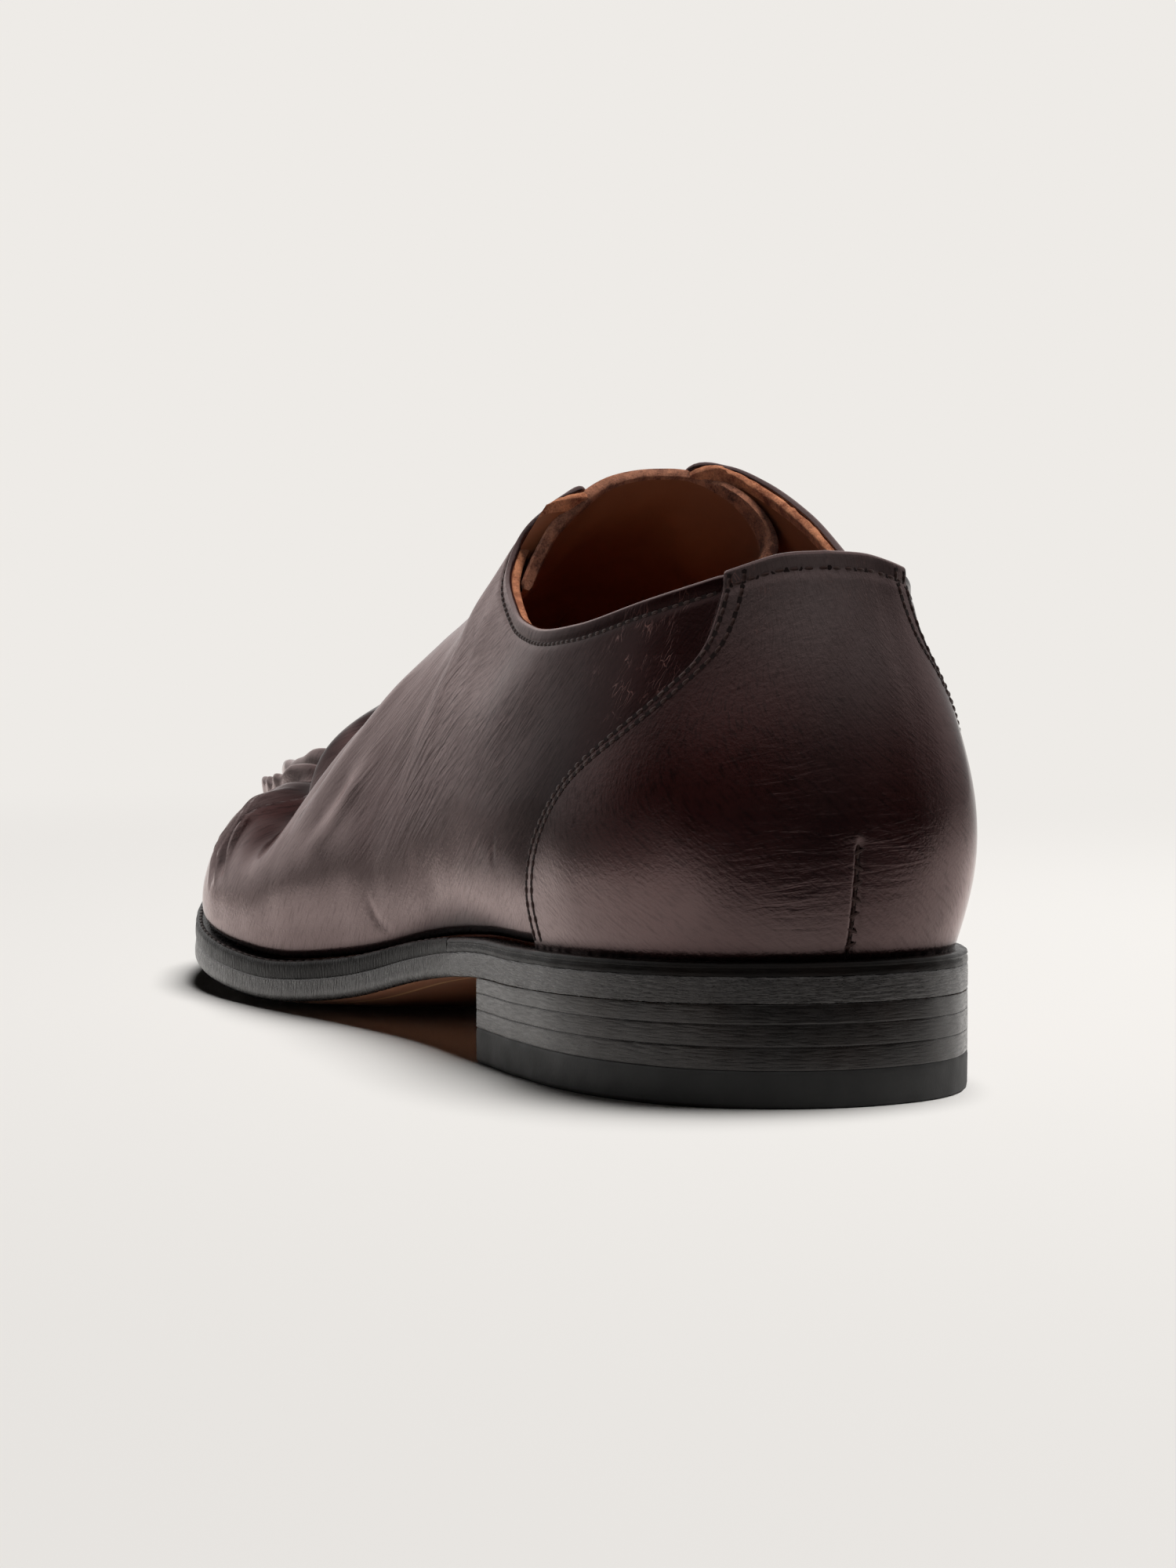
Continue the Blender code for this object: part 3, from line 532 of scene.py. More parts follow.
# waxed thread and cord: dark brown, twisted, a dull shine
def cordMaterial(name, dark, light, twist, rough):
    made, tree, where = newMaterial(name)
    turned = stretched(tree, where["UV"], (1000 / twist, 1000 / twist), 0.7)
    ply = addNode(tree, "ShaderNodeTexWave", {"Vector": turned, "Scale": 0.5, "Distortion": 0.6}).outputs[0]
    return principled(made, mixed(tree, ply, dark, light), rough, bumped(tree, ply, 0.7, 0.15),
                      **{"Specular Tint": (1.0, 0.72, 0.68, 1.0)})


calf = calfMaterial()
tanLining = plainMaterial("tan_lining_leather", dark="#7C4629", light="#9C5E3B", cloud=9.0, detail=5.0,
                          pore=0.9, strength=0.3, depth=0.1, rough=0.6)
liningEdge = rawMaterial("raw_lining_edge", light="#D68F68", deep="#7E4630")
tongueEdge = rawMaterial("raw_tongue_edge", light="#B87C60", deep="#553227")
heelInk = edgeMaterial("inked_heel_leather", brownShare=0.55, upright=False, gloss=1.5, depth=0.05)
soleInk = edgeMaterial("inked_sole_edge", brownShare=0.2, upright=True, gloss=1.6, depth=0.3)
weltInk = edgeMaterial("inked_welt_edge", brownShare=0.1, upright=True, gloss=1.14, depth=0.16)
seatInk = edgeMaterial("inked_heel_seat", brownShare=0.3, upright=False, gloss=1.16, depth=0.08)
soleBottom = bottomMaterial()
heelRubber = plainMaterial("black_heel_rubber", dark="#090909", light="#131212", cloud=7.0, detail=6.0,
                           pore=0.5, strength=0.35, depth=0.08, rough=(0.5, 0.68))
thread = cordMaterial("waxed_linen_thread", dark="#241512", light="#553A34", twist=0.5, rough=0.5)
# painted shade: the near-black colour stands for the shade inside each needle hole
needleHoleShade = cordMaterial("needle_hole_shadow", dark="#050304", light="#0A0606", twist=0.5, rough=0.9)
laceCord = cordMaterial("waxed_cotton_lace", dark="#1A1112", light="#34211F", twist=0.9, rough=0.6)
print("materials made")


# sole, heel and welt: rings round the last's outline, each edge profile given as (share of height, inset in mm)
soleValues = {
    "frontEdge": ((0, 0.8), (0.05, 0.4), (0.14, 0.1), (0.3, 0.0), (0.5, 0.06), (0.7, 0.16), (0.88, 0.24), (1, 0.3)),
    "heelEdge": ((0, 0.14), (0.05, 0.05), (0.14, 0.0), (0.3, 0.0), (0.5, 0.0), (0.7, 0.0), (0.88, 0.02), (1, 0.1)),
    "weltEdge": ((0, 0.26), (0.08, 0.18), (0.25, 0.14), (0.5, 0.13), (0.75, 0.16), (0.92, 0.3), (1, 0.65)),
    "seatEdge": ((0, 0.1), (0.1, 0.0), (0.4, 0.0), (0.52, 0.14), (0.6, 0.14), (0.68, 0.0), (0.85, 0.16), (0.95, 0.5),
                 (1, 1.0)),
    "liftEdge": ((0, 0.04), (0.025, 0.01), (0.08, 0.0), (0.92, 0.0), (0.975, 0.01), (1, 0.04)),
    "rubberEdge": ((0, 0.35), (0.04, 0.1), (0.12, 0.0), (0.88, 0.0), (0.97, 0.05), (1, 0.16)),
    "joint": 0.06, "ringInner": 2.4, "columns": 260, "underRows": 41, "heelColumns": 150, "breastColumns": 14,
    "seatColumns": 110, "weltColumns": 170, "wobble": 0.05, "profileTurn": (5.0, 6.2), "upright": (5.2, 5.6),
    "weltGap": 0.02, "innerRows": (4, 6, 8),  # mm above the roof in the uv map
}


def edgeColumn(at, side, profile, base, roof):
    shares, insets = profile
    heights = base + (roof - base) * shares
    wobble = soleValues["wobble"] * (np.sin(at * 9.1 + side) + np.sin(at * 17.3 + 2 * side + heights * 0.9)) / 2
    return np.column_stack([insideEdge(np.full(len(shares), at), side, insets + wobble), heights])


def mixedProfile(at):
    front = float(ease(*soleValues["profileTurn"], at))
    shares, rear = np.array(soleValues["heelEdge"], dtype=float).T
    return shares, rear * (1 - front) + np.array(soleValues["frontEdge"], dtype=float)[:, 1] * front


def makeOutsole():
    values = soleValues
    places = evenPlaces(-1, 0.0, last["toe"], values["columns"])
    base = soleValue("bottom", places) + values["joint"]
    roof = soleValue("bottom", places) + last["outsole"]
    both = [(i, -1) for i in range(len(places))] + [(i, 1) for i in range(len(places))[::-1]]
    points = np.array([edgeColumn(places[i], side, mixedProfile(places[i]), base[i], roof[i]) for i, side in both])
    points = points.transpose(1, 0, 2)
    uv = uvGrid(lengths(points[0, :, :2])[None], points[..., 2])
    at = np.broadcast_to(places[[i for i, side in both]], points.shape[:2])
    points, at = [np.concatenate([part, part[:, :1]], axis=1) for part in (points, at)]
    uv = np.concatenate([uv, uv[:, -1:] + np.array([1.0, 0.0])], axis=1)
    marks = {"front": ease(*values["upright"], at), "inset": np.zeros(at.shape)}
    edge = gridPiece("outsole_edge", points, uv, marks)
    shares = np.linspace(0.0, 1.0, values["underRows"])
    left, right = points[0, :len(places), :2], points[0, 2 * len(places) - 1:len(places) - 1:-1, :2]
    plan = left[None] + (right - left)[None] * shares[:, None, None]
    away = 2.0 * shares[:, None] - 1.0
    hang = soleValue("crown", places)[None] * (1.0 - away**2)
    under = np.concatenate([plan, np.maximum(base[None] - hang, 0.0)[..., None]], axis=-1)
    inset = (1.0 - np.abs(away)) * np.linalg.norm(right - left, axis=1)[None] / 2
    bottom = gridPiece("outsole_bottom", under, under[..., :2], {"front": np.ones(inset.shape), "inset": inset},
                       np.ones((len(shares) - 1, len(places) - 1)))
    for piece in (edge, bottom):
        piece.data.materials.append(soleInk)
        piece.data.materials.append(soleBottom)
    select(edge)
    bottom.select_set(True)
    bpy.ops.object.join()
    closeUp(0.02, True)
    edge.name = "leather_outsole"
    dress(edge, "sole_leather", nodes=("outsole",))


def stripPiece(name, profile, path, look, node):
    profile = np.array(profile, dtype=float).T
    loops, talls = [], []
    for at, side in path:
        base = soleValue("bottom", at) + last["outsole"] + soleValues["joint"]
        roof = soleValue("bottom", at) + soleValue("stack", at)
        inner = insideEdge(at, side, soleValue("inset", at) + soleValues["ringInner"])
        loop = np.concatenate([edgeColumn(at, side, profile, base, roof), [[*inner, roof], [*inner, base]]])
        loops.append(np.concatenate([loop, loop[:1]]))
        talls.append(np.concatenate([loop[:-2, 2], [roof + row for row in soleValues["innerRows"]]]))
    points = np.array(loops).transpose(1, 0, 2)
    front = ease(*soleValues["upright"], np.array([at for at, side in path]))
    uv = uvGrid(lengths(points[0])[None], np.array(talls).T)
    piece = gridPiece(name, points, uv, {"front": np.broadcast_to(front, points.shape[:2])}, fill=True)
    dress(piece, "sole_edge", look, nodes=(node,))


def makeWelt():
    end, toe = last["weltEnd"], last["toe"]
    rear, fore = soleValues["seatColumns"], soleValues["weltColumns"]
    path = [(at, -1) for at in evenPlaces(-1, 0.0, end, rear)[::-1]]
    path += [(at, 1) for at in evenPlaces(1, 0.0, end, rear)[1:]]
    stripPiece("heel_seat_band", soleValues["seatEdge"], path, seatInk, "heel_seat")
    start = end + soleValues["weltGap"]
    path = [(at, -1) for at in evenPlaces(-1, start, toe, fore)]
    path += [(at, 1) for at in evenPlaces(1, start, toe, fore)[-2::-1]]
    stripPiece("storm_welt", soleValues["weltEdge"], path, weltInk, "welt")


def heelSlab(name, base, roof, profile, look, slot, node):
    places = evenPlaces(-1, 0.0, last["breast"], soleValues["heelColumns"])
    path = [(at, -1) for at in places[::-1]] + [(at, 1) for at in places[1:]]
    profile = np.array(profile, dtype=float).T
    breastY = float(outline(last["breast"], -1)[1])
    columns = []
    for at, side in path:
        column = edgeColumn(at, side, profile, base(at), roof(at))
        column[:, 1] = np.minimum(column[:, 1], breastY - profile[1])
        columns.append(column)
    for share in np.linspace(0, 1, soleValues["breastColumns"])[1:]:
        columns.append(columns[len(path) - 1] * (1 - share) + columns[0] * share)
    points = np.array(columns).transpose(1, 0, 2)
    piece = gridPiece(name, points, uvGrid(lengths(points[1, :, :2])[None], points[..., 2]), fill=True)
    dress(piece, slot, look, nodes=(node,))


def makeHeel():
    top = last["topPiece"]
    level = lambda share: (lambda at: top + (soleValue("bottom", at) - top) * share)
    heelSlab("rubber_top_piece", lambda at: 0.0 * at, level(0.0), soleValues["rubberEdge"], heelRubber, "rubber", "top_piece")
    share = 0.0
    for number, part in enumerate(last["liftShares"], 1):
        low = lambda at, share=share: level(share)(at) + soleValues["joint"]
        heelSlab(f"heel_lift_leather_{number}", low, level(share + part), soleValues["liftEdge"], heelInk, "sole_edge",
                 f"heel_lift_{number}")
        share += part


makeOutsole()
makeWelt()
makeHeel()
print("sole, welt and heel made")


# upper: calf wall over the last with the moc seam, pleats and wear folds
upperValues = {
    "wall": 1.1, "foreRoom": 7.5, "roomFrom": (7.6, 8.3), "roomTop": (0.9, 0.75), "fold": 0.62, "foldRows": 8, "backRows": 9,
    "columns": (370, 240), "below": 54, "zone": 40, "above": 32, "zoneHalf": 7.5, "wallTall": 95.0,
    "counterDrop": 0.45, "dropEnd": (1.75, 2.1),
    "seamNames": ("at", "v", "height"),
    "seamRows": ((0, 0.74, 0), (7.2, 0.74, 0), (8, 0.74, 0), (8.8, 0.73, 0), (9.25, 0.68, 0), (9.7, 0.625, 0.2),
                 (10, 0.58, 0.7), (10.35, 0.55, 1), (10.6, 0.535, 1), (11.3, 0.52, 1), (12.5, 0.525, 1), (15, 0.56, 1)),
    # bells as height, middle and half width in mm, measured from the seam, the top edge or the feather line
    "apronRoll": (3.4, 2.8, 2.4), "wallPinch": (3.2, -2.8, 1.9), "stitchGroove": (-1.4, 0.0, 0.8), "wallDip": (-3.0, -7.0, 3.3),
    "collarGroove": (-0.28, 2.7, 0.7), "collarBead": (0.14, 0.7, 0.8), "featherTuck": (-0.9, 0.0, 1.0),
    "pucker": 11.0, "rollBeat": 0.07, "pinchBeat": 0.14, "pleats": (0.55, 3.0, 9.0, 8.5), "pleatStart": {-1: 10.4, 1: 9.4},
    "crestReach": 11.0, "crestFrom": (-0.1, 0.6), "crestTo": (11.0, 13.0), "aboveBunch": 1.9,
    "sway": (0.13, 0.045), "swayEnds": (6.0, 8.0), "foldReach": 1.2, "foldTaper": (0.35, 0.15, 0.5),
    # painted shade round the heel and along the feather line
    "shadeRear": (2.9, 6.4), "shadeFoot": (0.1, 0.25), "shadeLine": 1.5, "shadeWaist": (3.0, 5.5, 0.75),
    # painted reflection of the floor, paler low on the sides
    "floorReflection": 0.75, "floorReflectionTop": (0.12, 0.3), "floorReflectionRear": (3.6, 4.3), "floorReflectionFoot": (0.04, 0.1),
    # side, half width and height in mm, then the fold's line as places and heights up the wall
    "folds": (
        (-1, 4.0, 0.8, (7.55, 0.70), (7.72, 0.56), (7.82, 0.46), (8.0, 0.36), (8.25, 0.27), (8.5, 0.18)),
        (-1, 5.5, -3.2, (8.9, 0.68), (8.75, 0.60), (8.70, 0.48), (8.72, 0.38), (8.80, 0.28), (8.95, 0.16)),
        (-1, 7.0, -5.8, (9.95, 0.67), (9.75, 0.59), (9.5, 0.51), (9.2, 0.43), (9.0, 0.35), (8.95, 0.27), (8.95, 0.18)),
        (-1, 9.0, -2.0, (9.8, 0.64), (10.2, 0.58), (10.6, 0.55), (11.0, 0.53), (11.6, 0.52), (12.4, 0.525)),
        (-1, 1.6, -0.25, (7.60, 0.41), (7.64, 0.356), (7.76, 0.292), (7.86, 0.24)),
        (-1, 9.0, 1.4, (6.8, 0.23), (7.3, 0.21), (7.8, 0.20), (8.3, 0.19), (8.9, 0.18), (9.7, 0.18)),
        (-1, 2.3, 0.55, (7.40, 0.40), (7.47, 0.345), (7.55, 0.285), (7.76, 0.22)),
        (-1, 1.3, 1.6, (9.20, 0.46), (9.40, 0.34), (9.44, 0.24), (9.34, 0.15)),
        (-1, 1.3, -1.5, (9.32, 0.44), (9.58, 0.31), (9.58, 0.21), (9.52, 0.13)),
        (-1, 1.2, 1.3, (9.60, 0.44), (9.76, 0.30), (9.72, 0.2), (9.66, 0.12)),
        (-1, 1.1, -1.5, (9.85, 0.44), (9.96, 0.30), (9.90, 0.2), (9.82, 0.1)),
        (-1, 1.1, 1.1, (10.1, 0.44), (10.15, 0.30), (10.05, 0.2), (9.98, 0.1)),
        (-1, 4.2, -0.15, (7.05, 0.44), (7.2, 0.33), (7.35, 0.22)), (-1, 0.7, -0.22, (6.85, 0.13), (6.70, 0.07), (6.40, 0.015)),
        (-1, 0.7, -0.15, (4.75, 0.33), (4.73, 0.19)), (-1, 7.0, 0.35, (4.38, 0.905), (6.90, 0.45)),
        (-1, 6.0, -0.3, (4.95, 0.93), (7.20, 0.52)), (-1, 5.0, 0.3, (5.75, 0.90), (7.40, 0.60)),
        (-1, 8.0, -0.3, (3.9, 0.78), (5.6, 0.42)),
        (1, 1.8, 1.0, (9.2, 0.52), (9.45, 0.15)), (1, 1.5, -0.9, (9.45, 0.50), (9.7, 0.15)),
        (1, 5.0, 1.4, (8.0, 0.62), (8.2, 0.45), (8.6, 0.2)), (1, 5.0, -2.2, (8.95, 0.62), (8.75, 0.46), (8.9, 0.2)),
        (1, 5.0, 0.5, (7.5, 0.5), (7.9, 0.2)), (1, 7.0, 0.35, (5.0, 0.85), (7.0, 0.5)), (1, 8.0, -0.35, (4.2, 0.8), (6.0, 0.4))),
    # side, place, height up the wall, radius in mm and strength of redder, rubbed, wrinkled, pulled, painted highlight
    # and painted shade patches
    "glow": ((-1, 2.7, 0.80, 17, 0.8), (-1, 3.5, 0.9, 12, 0.4), (-1, 2.9, 0.45, 14, 0.4), (-1, 8.70, 0.36, 8, 1.0),
             (-1, 8.8, 0.62, 9, 1.0), (-1, 9.35, 0.51, 10, 1.0), (-1, 9.15, 0.38, 8, 1.0), (-1, 9.0, 0.30, 7, 0.9),
             (1, 2.7, 0.8, 17, 0.6), (1, 9.0, 0.42, 10, 0.6)),
    "scuff": ((-1, 2.75, 0.80, 13, 1.0), (-1, 3.2, 0.93, 8, 0.6)),
    "wrinkle": ((-1, 4.6, 0.80, 20, 0.10), (-1, 5.8, 0.7, 22, 0.12)),
    "crease": ((-1, 5.2, 0.62, 24, 1.7), (-1, 6.3, 0.55, 24, 1.7), (-1, 4.4, 0.7, 14, 0.9), (-1, 7.2, 0.42, 14, 0.9)),
    # painted highlights on the crests of the folds
    "painted_highlight": ((-1, 7.52, 0.31, 6, 1.0), (-1, 7.45, 0.39, 5, 0.7), (-1, 7.75, 0.24, 6, 0.7)),
    # painted shade in the hollows between the folds
    "painted_shade": ((-1, 8.75, 0.5, 7, 0.5), (-1, 9.2, 0.54, 10, 1.0), (-1, 9.5, 0.48, 8, 1.0), (-1, 9.15, 0.38, 7, 0.9),
            (-1, 9.02, 0.31, 6, 0.75), (-1, 9.0, 0.65, 7, 0.85)),
}
seamTable = table(upperValues["seamNames"], upperValues["seamRows"])
patchNames = ("glow", "scuff", "wrinkle", "crease", "painted_highlight", "painted_shade")


def seamHeightAt(at):
    return smooth(seamTable["at"], seamTable["v"], at)


# rolled moc seam: two rolls with the sewn groove between them, puckered, and pleats below it round the toe
def mocRelief(at, side, v, span):
    values = upperValues
    strength = np.clip(smooth(seamTable["at"], seamTable["height"], at), 0.0, 1.0)
    d = (v - seamHeightAt(at)) * span
    fine = np.linspace(0, last["toe"], 900)
    s = np.interp(at, fine, lengths(section(fine, side, seamHeightAt(fine))))
    beat = 0.5 + 0.5 * np.sin(2 * np.pi * s / values["pucker"] + 1.4 * np.sin(s / 15.0) + side)
    ridge = bell(d, values["stitchGroove"]) + bell(d, values["wallDip"])
    for name, share in (("apronRoll", values["rollBeat"]), ("wallPinch", values["pinchBeat"])):
        ridge = ridge + bell(d, values[name]) * (1.0 - share + share * beat)
    height, clear, fade, pitch = values["pleats"]
    start = values["pleatStart"][side]
    pleats = height * ease(start, start + 0.5, at) * np.exp(-np.clip(-d - clear, 0.0, None) / fade) * (d < 0)
    pleats = pleats * ease(0.0, clear, -d) * np.sin(2 * np.pi * s / pitch + 1.1 * np.sin(s / 11.0))
    return strength * ridge + pleats


def foldRelief(points, at, side):
    reach, (start, rise, fall) = upperValues["foldReach"], upperValues["foldTaper"]
    total = np.zeros(at.shape)
    for row in upperValues["folds"]:
        if row[0] != side:
            continue
        half, height = row[1:3]
        knots = np.array(row[3:], dtype=float)
        t = np.linspace(0.0, len(knots) - 1.0, 24)
        lineAt, lineV = (smooth(np.arange(len(knots)), knots[:, i], t) for i in (0, 1))
        line = section(lineAt, side, lineV)
        near = (at > lineAt.min() - reach) & (at < lineAt.max() + reach)
        spot = points[near]
        best = np.full(len(spot), 1e9)
        along = np.zeros(len(spot))
        for i in range(len(line) - 1):
            step = line[i + 1] - line[i]
            share = np.clip(((spot - line[i]) @ step) / (step @ step), 0.0, 1.0)
            away = np.linalg.norm(spot - line[i] - share[:, None] * step, axis=1)
            closer = away < best
            best = np.where(closer, away, best)
            along = np.where(closer, (i + share) / (len(line) - 1), along)
        taper = (start + (1.0 - start) * ease(0.0, rise, along)) * (1.0 - ease(fall, 1.0, along))
        total[near] += height * np.exp(-(best / half) ** 2) * taper
    return total


def patches(points, rows):
    total = np.zeros(points.shape[:-1])
    for side, at, v, radius, strength in rows:
        away = np.sum((points - section(at, side, v)) ** 2, axis=-1)
        total = np.maximum(total, strength * np.exp(-away / radius ** 2))
    return total


# painted shade, a darker tint over colour and gloss: round the heel, and in a band along the feather line that is
# deepest at the waist
def paintedShade(at, v, span):
    values = upperValues
    rear = (1.0 - ease(*values["shadeRear"], at)) * ease(*values["shadeFoot"], v)
    line = values["shadeLine"] + bell(at, values["shadeWaist"])
    return np.maximum(rear, np.exp(-(v * span / line) ** 2))


# painted reflection of the floor: paler low on the sides, above the feather line
def paintedFloorReflection(at, v):
    values = upperValues
    shape = (1.0 - ease(*values["floorReflectionTop"], v)) * ease(*values["floorReflectionRear"], at)
    return values["floorReflection"] * shape * ease(*values["floorReflectionFoot"], v)


# slight unevenness of hand-lasted leather, in long and short waves that fade out at the feather line and the top edge
def sway(points, rise, below):
    (large, small), (foot, top) = upperValues["sway"], upperValues["swayEnds"]
    x, y, z = points[..., 0], points[..., 1], points[..., 2]
    slow = np.sin(y / 7.1 + z / 9.0) * np.sin(z / 8.3 - x / 11.0 + 0.7)
    quick = np.sin(y / 3.3 - z / 3.9 + 1.1) * np.sin(z / 4.7 + y / 6.1)
    return (large * slow + small * quick) * ease(0.0, foot, rise) * ease(0.0, top, below)


def crestRounding(at, side, v, span):
    values = upperValues
    start, end = values["crestFrom"]
    short = np.clip(values["crestReach"] - (1.0 - v) * span, 0.0, None)
    drop = np.tan(np.radians(topValue("roll", at, side))) * short ** 2 / (2 * values["crestReach"])
    drop = -drop * ease(last["join"] + start, last["join"] + end, at) * (1.0 - ease(*values["crestTo"], at))
    return upward * drop[..., None]


def crestBlend(normal, at, v):
    shared = (ease(*last["crestShare"], v) * (at >= last["join"]))[..., None]
    return unit(normal * (1.0 - shared) + upward * shared), shared[..., 0]


def collarShape(below, values):
    return bell(below, values["collarGroove"]) + bell(below, values["collarBead"])


def upperSkin(at, side, v):
    normal, _, span = facing(at, side, v)
    points = section(at, side, v)
    below = (1.0 - v) * span
    lift = mocRelief(at, side, v, span) + foldRelief(points, at, side) + bell(v * span, upperValues["featherTuck"])
    lift = lift + collarShape(below, upperValues) * (at < last["join"]) + sway(points, v * span, below)
    direction, shared = crestBlend(normal, at, v)
    moved = points + direction * (lift * (1.0 - shared))[..., None] + crestRounding(at, side, v, span)
    return moved, points, span


def offsetSheet(at, side, v, lift):
    normal, _, span = facing(at, side, v)
    direction, _ = crestBlend(normal, at, v)
    return section(at, side, v) + direction * np.asarray(lift)[..., None] + crestRounding(at, side, v, span)


def foldOver(edge, far, rising, radius, count):
    angles = np.linspace(0.0, np.pi, count + 2)[1:-1, None, None]
    return edge + (far - edge) * (1 - np.cos(angles)) / 2 + rising * radius * np.sin(angles)


# rows of the wall, closest together in the zone of the moc seam
def wallRows(at):
    values = upperValues
    seam = seamHeightAt(at)
    half = values["zoneHalf"] / values["wallTall"]
    below = np.linspace(0.0, 1.0, values["below"], endpoint=False)[:, None] * (seam - half)[None]
    zone = (seam - half)[None] + np.linspace(0.0, 1.0, values["zone"], endpoint=False)[:, None] * (2 * half)
    above = (1.0 - (1.0 - np.linspace(0.0, 1.0, values["above"])) ** values["aboveBunch"])[:, None]
    return np.concatenate([below, zone, (seam + half)[None] + above * (1.0 - seam - half)[None]])


# one closed sheet round the last: outside rows, folded edge, inside rows; in front of the throat both sides are one sheet
def wallShell(values, rowsFor, outLift, inLift, foldRadius, drop):
    grids, uvs, ats = [], [], []
    marks = {mark: [] for mark in patchNames if outLift is None}  # only the calf is painted
    for side, count in zip((-1, 1), values["columns"]):
        places = evenPlaces(side, 0.0, last["toe"], count)
        places[np.argmin(np.abs(places - last["join"]))] = last["join"]
        _, risingTop, spanTop = facing(places, side, np.ones(len(places)))
        isOpen = places < last["join"] - 1e-6
        lower = 1.0 - (foldRadius + drop(places)) / spanTop * isOpen
        rows = rowsFor(places) * lower[None]
        at = np.broadcast_to(places, rows.shape)
        if outLift is None:
            outer, plain, span = upperSkin(at, side, rows)
        else:
            outer = offsetSheet(at, side, rows, outLift(at, rows))
        backRows = (1.0 - np.linspace(0.0, 1.0, values["backRows"]) ** last["backBunch"])[:, None] * lower[None]
        backAt = np.broadcast_to(places, backRows.shape)
        inner = offsetSheet(backAt, side, backRows, inLift(backAt, backRows))
        bends = foldOver(outer[-1], inner[0], risingTop * isOpen[:, None], foldRadius, values["foldRows"])
        grid = np.concatenate([outer, bends, inner, outer[:1]])
        tall = np.full(len(grid), 1.0)
        tall[:len(outer)] = np.diff(lengths(outer[:, len(places) // 3]), prepend=0.0)
        run = lengths(outline(places, side))
        if side > 0:
            run = last["uvRound"] - run
        uv = uvGrid(run[None], np.cumsum(tall)[:, None])
        order = slice(None, None, -side)
        for mark in marks:
            value = np.zeros(grid.shape[:2])
            value[:len(outer)] = patches(plain, values[mark])
            # painted highlights take in the painted reflection of the floor low on the sides; painted shade takes in
            # the band along the feather line and round the heel
            if mark in ("painted_highlight", "painted_shade"):
                allOver = paintedFloorReflection(at, rows) if mark == "painted_highlight" else paintedShade(at, rows, span)
                value[:len(outer)] = np.maximum(value[:len(outer)], allOver)
            marks[mark].append(value[:, order])
        grids.append(grid[:, order])
        uvs.append(uv[:, order])
        ats.append(places[order])
    points = np.concatenate(grids + [grids[0][:, :1]], axis=1)
    uv = np.concatenate(uvs + [uvs[1][:, -1:] + np.array([0.5, 0.0])], axis=1)
    marks = {mark: np.concatenate(value + [value[0][:, :1]], axis=1) for mark, value in marks.items()}
    ahead = np.concatenate(ats + [ats[0][:1]]) >= last["join"] - 1e-6
    folded = np.zeros(points.shape[0] - 1, dtype=bool)
    folded[len(rows) - 1:len(rows) + values["foldRows"]] = True
    return points, uv, marks, folded[:, None] & (ahead[:-1] & ahead[1:])[None], folded


# room for the deep folds ahead of the throat, between the calf and what lies inside it
def foreRoom(at, v):
    return upperValues["foreRoom"] * ease(*upperValues["roomFrom"], at) * ease(*upperValues["roomTop"], v)


def makeUpper():
    values = upperValues
    drop = lambda at: values["counterDrop"] * (1.0 - ease(*values["dropEnd"], at))
    inside = lambda at, v: -values["wall"] - foreRoom(at, v)
    points, uv, marks, gone, _ = wallShell(values, wallRows, None, inside, values["fold"], drop)
    dress(gridPiece("calf_upper", points, uv, marks, gone=gone, angle=70), "calf", calf, nodes=("upper",))


makeUpper()
print("upper made")


# lining: one sheet inside the wall, its cut and frayed edge showing at the collar, thicker at the facings
liningSheet = {"columns": (230, 170), "outRows": 8, "backRows": 40, "foldRows": 5, "outside": -1.16, "inside": -2.05,
               "edge": 0.45, "thicker": 0.75, "thickFrom": (4.6, 5.6), "thickUp": (0.75, 0.97), "drop": 0.35,
               "fray": 0.16, "frayShare": 0.7, "rawRows": 6}


def makeLining():
    values = liningSheet
    rows = lambda at: np.linspace(0, 1, values["outRows"])[:, None] * np.ones(len(at))
    outside = lambda at, v: values["outside"] - foreRoom(at, v)
    extra = lambda at, v: ease(*values["thickFrom"], at) * (at < last["join"]) * ease(*values["thickUp"], v)
    inside = lambda at, v: values["inside"] - foreRoom(at, v) - values["thicker"] * extra(at, v)
    drop = lambda at: np.full(len(at), values["drop"])
    points, uv, _, gone, folded = wallShell(values, rows, outside, inside, values["edge"], drop)
    rng = np.random.default_rng(4)
    fray = rng.normal(0.0, values["fray"], (len(folded), points.shape[1]))[:, :, None]
    points[:-1][folded] += (fray * upward)[folded] * values["frayShare"]
    points[:, -1] = points[:, 0]
    raw = folded.copy()
    raw[np.flatnonzero(folded)[-1]:][:values["rawRows"]] = True
    slots = np.broadcast_to(raw[:, None], gone.shape).astype(int)
    dress(gridPiece("tan_lining", points, uv, faceSlots=slots, gone=gone, angle=70), "lining", tanLining, liningEdge)


makeLining()
print("lining made")


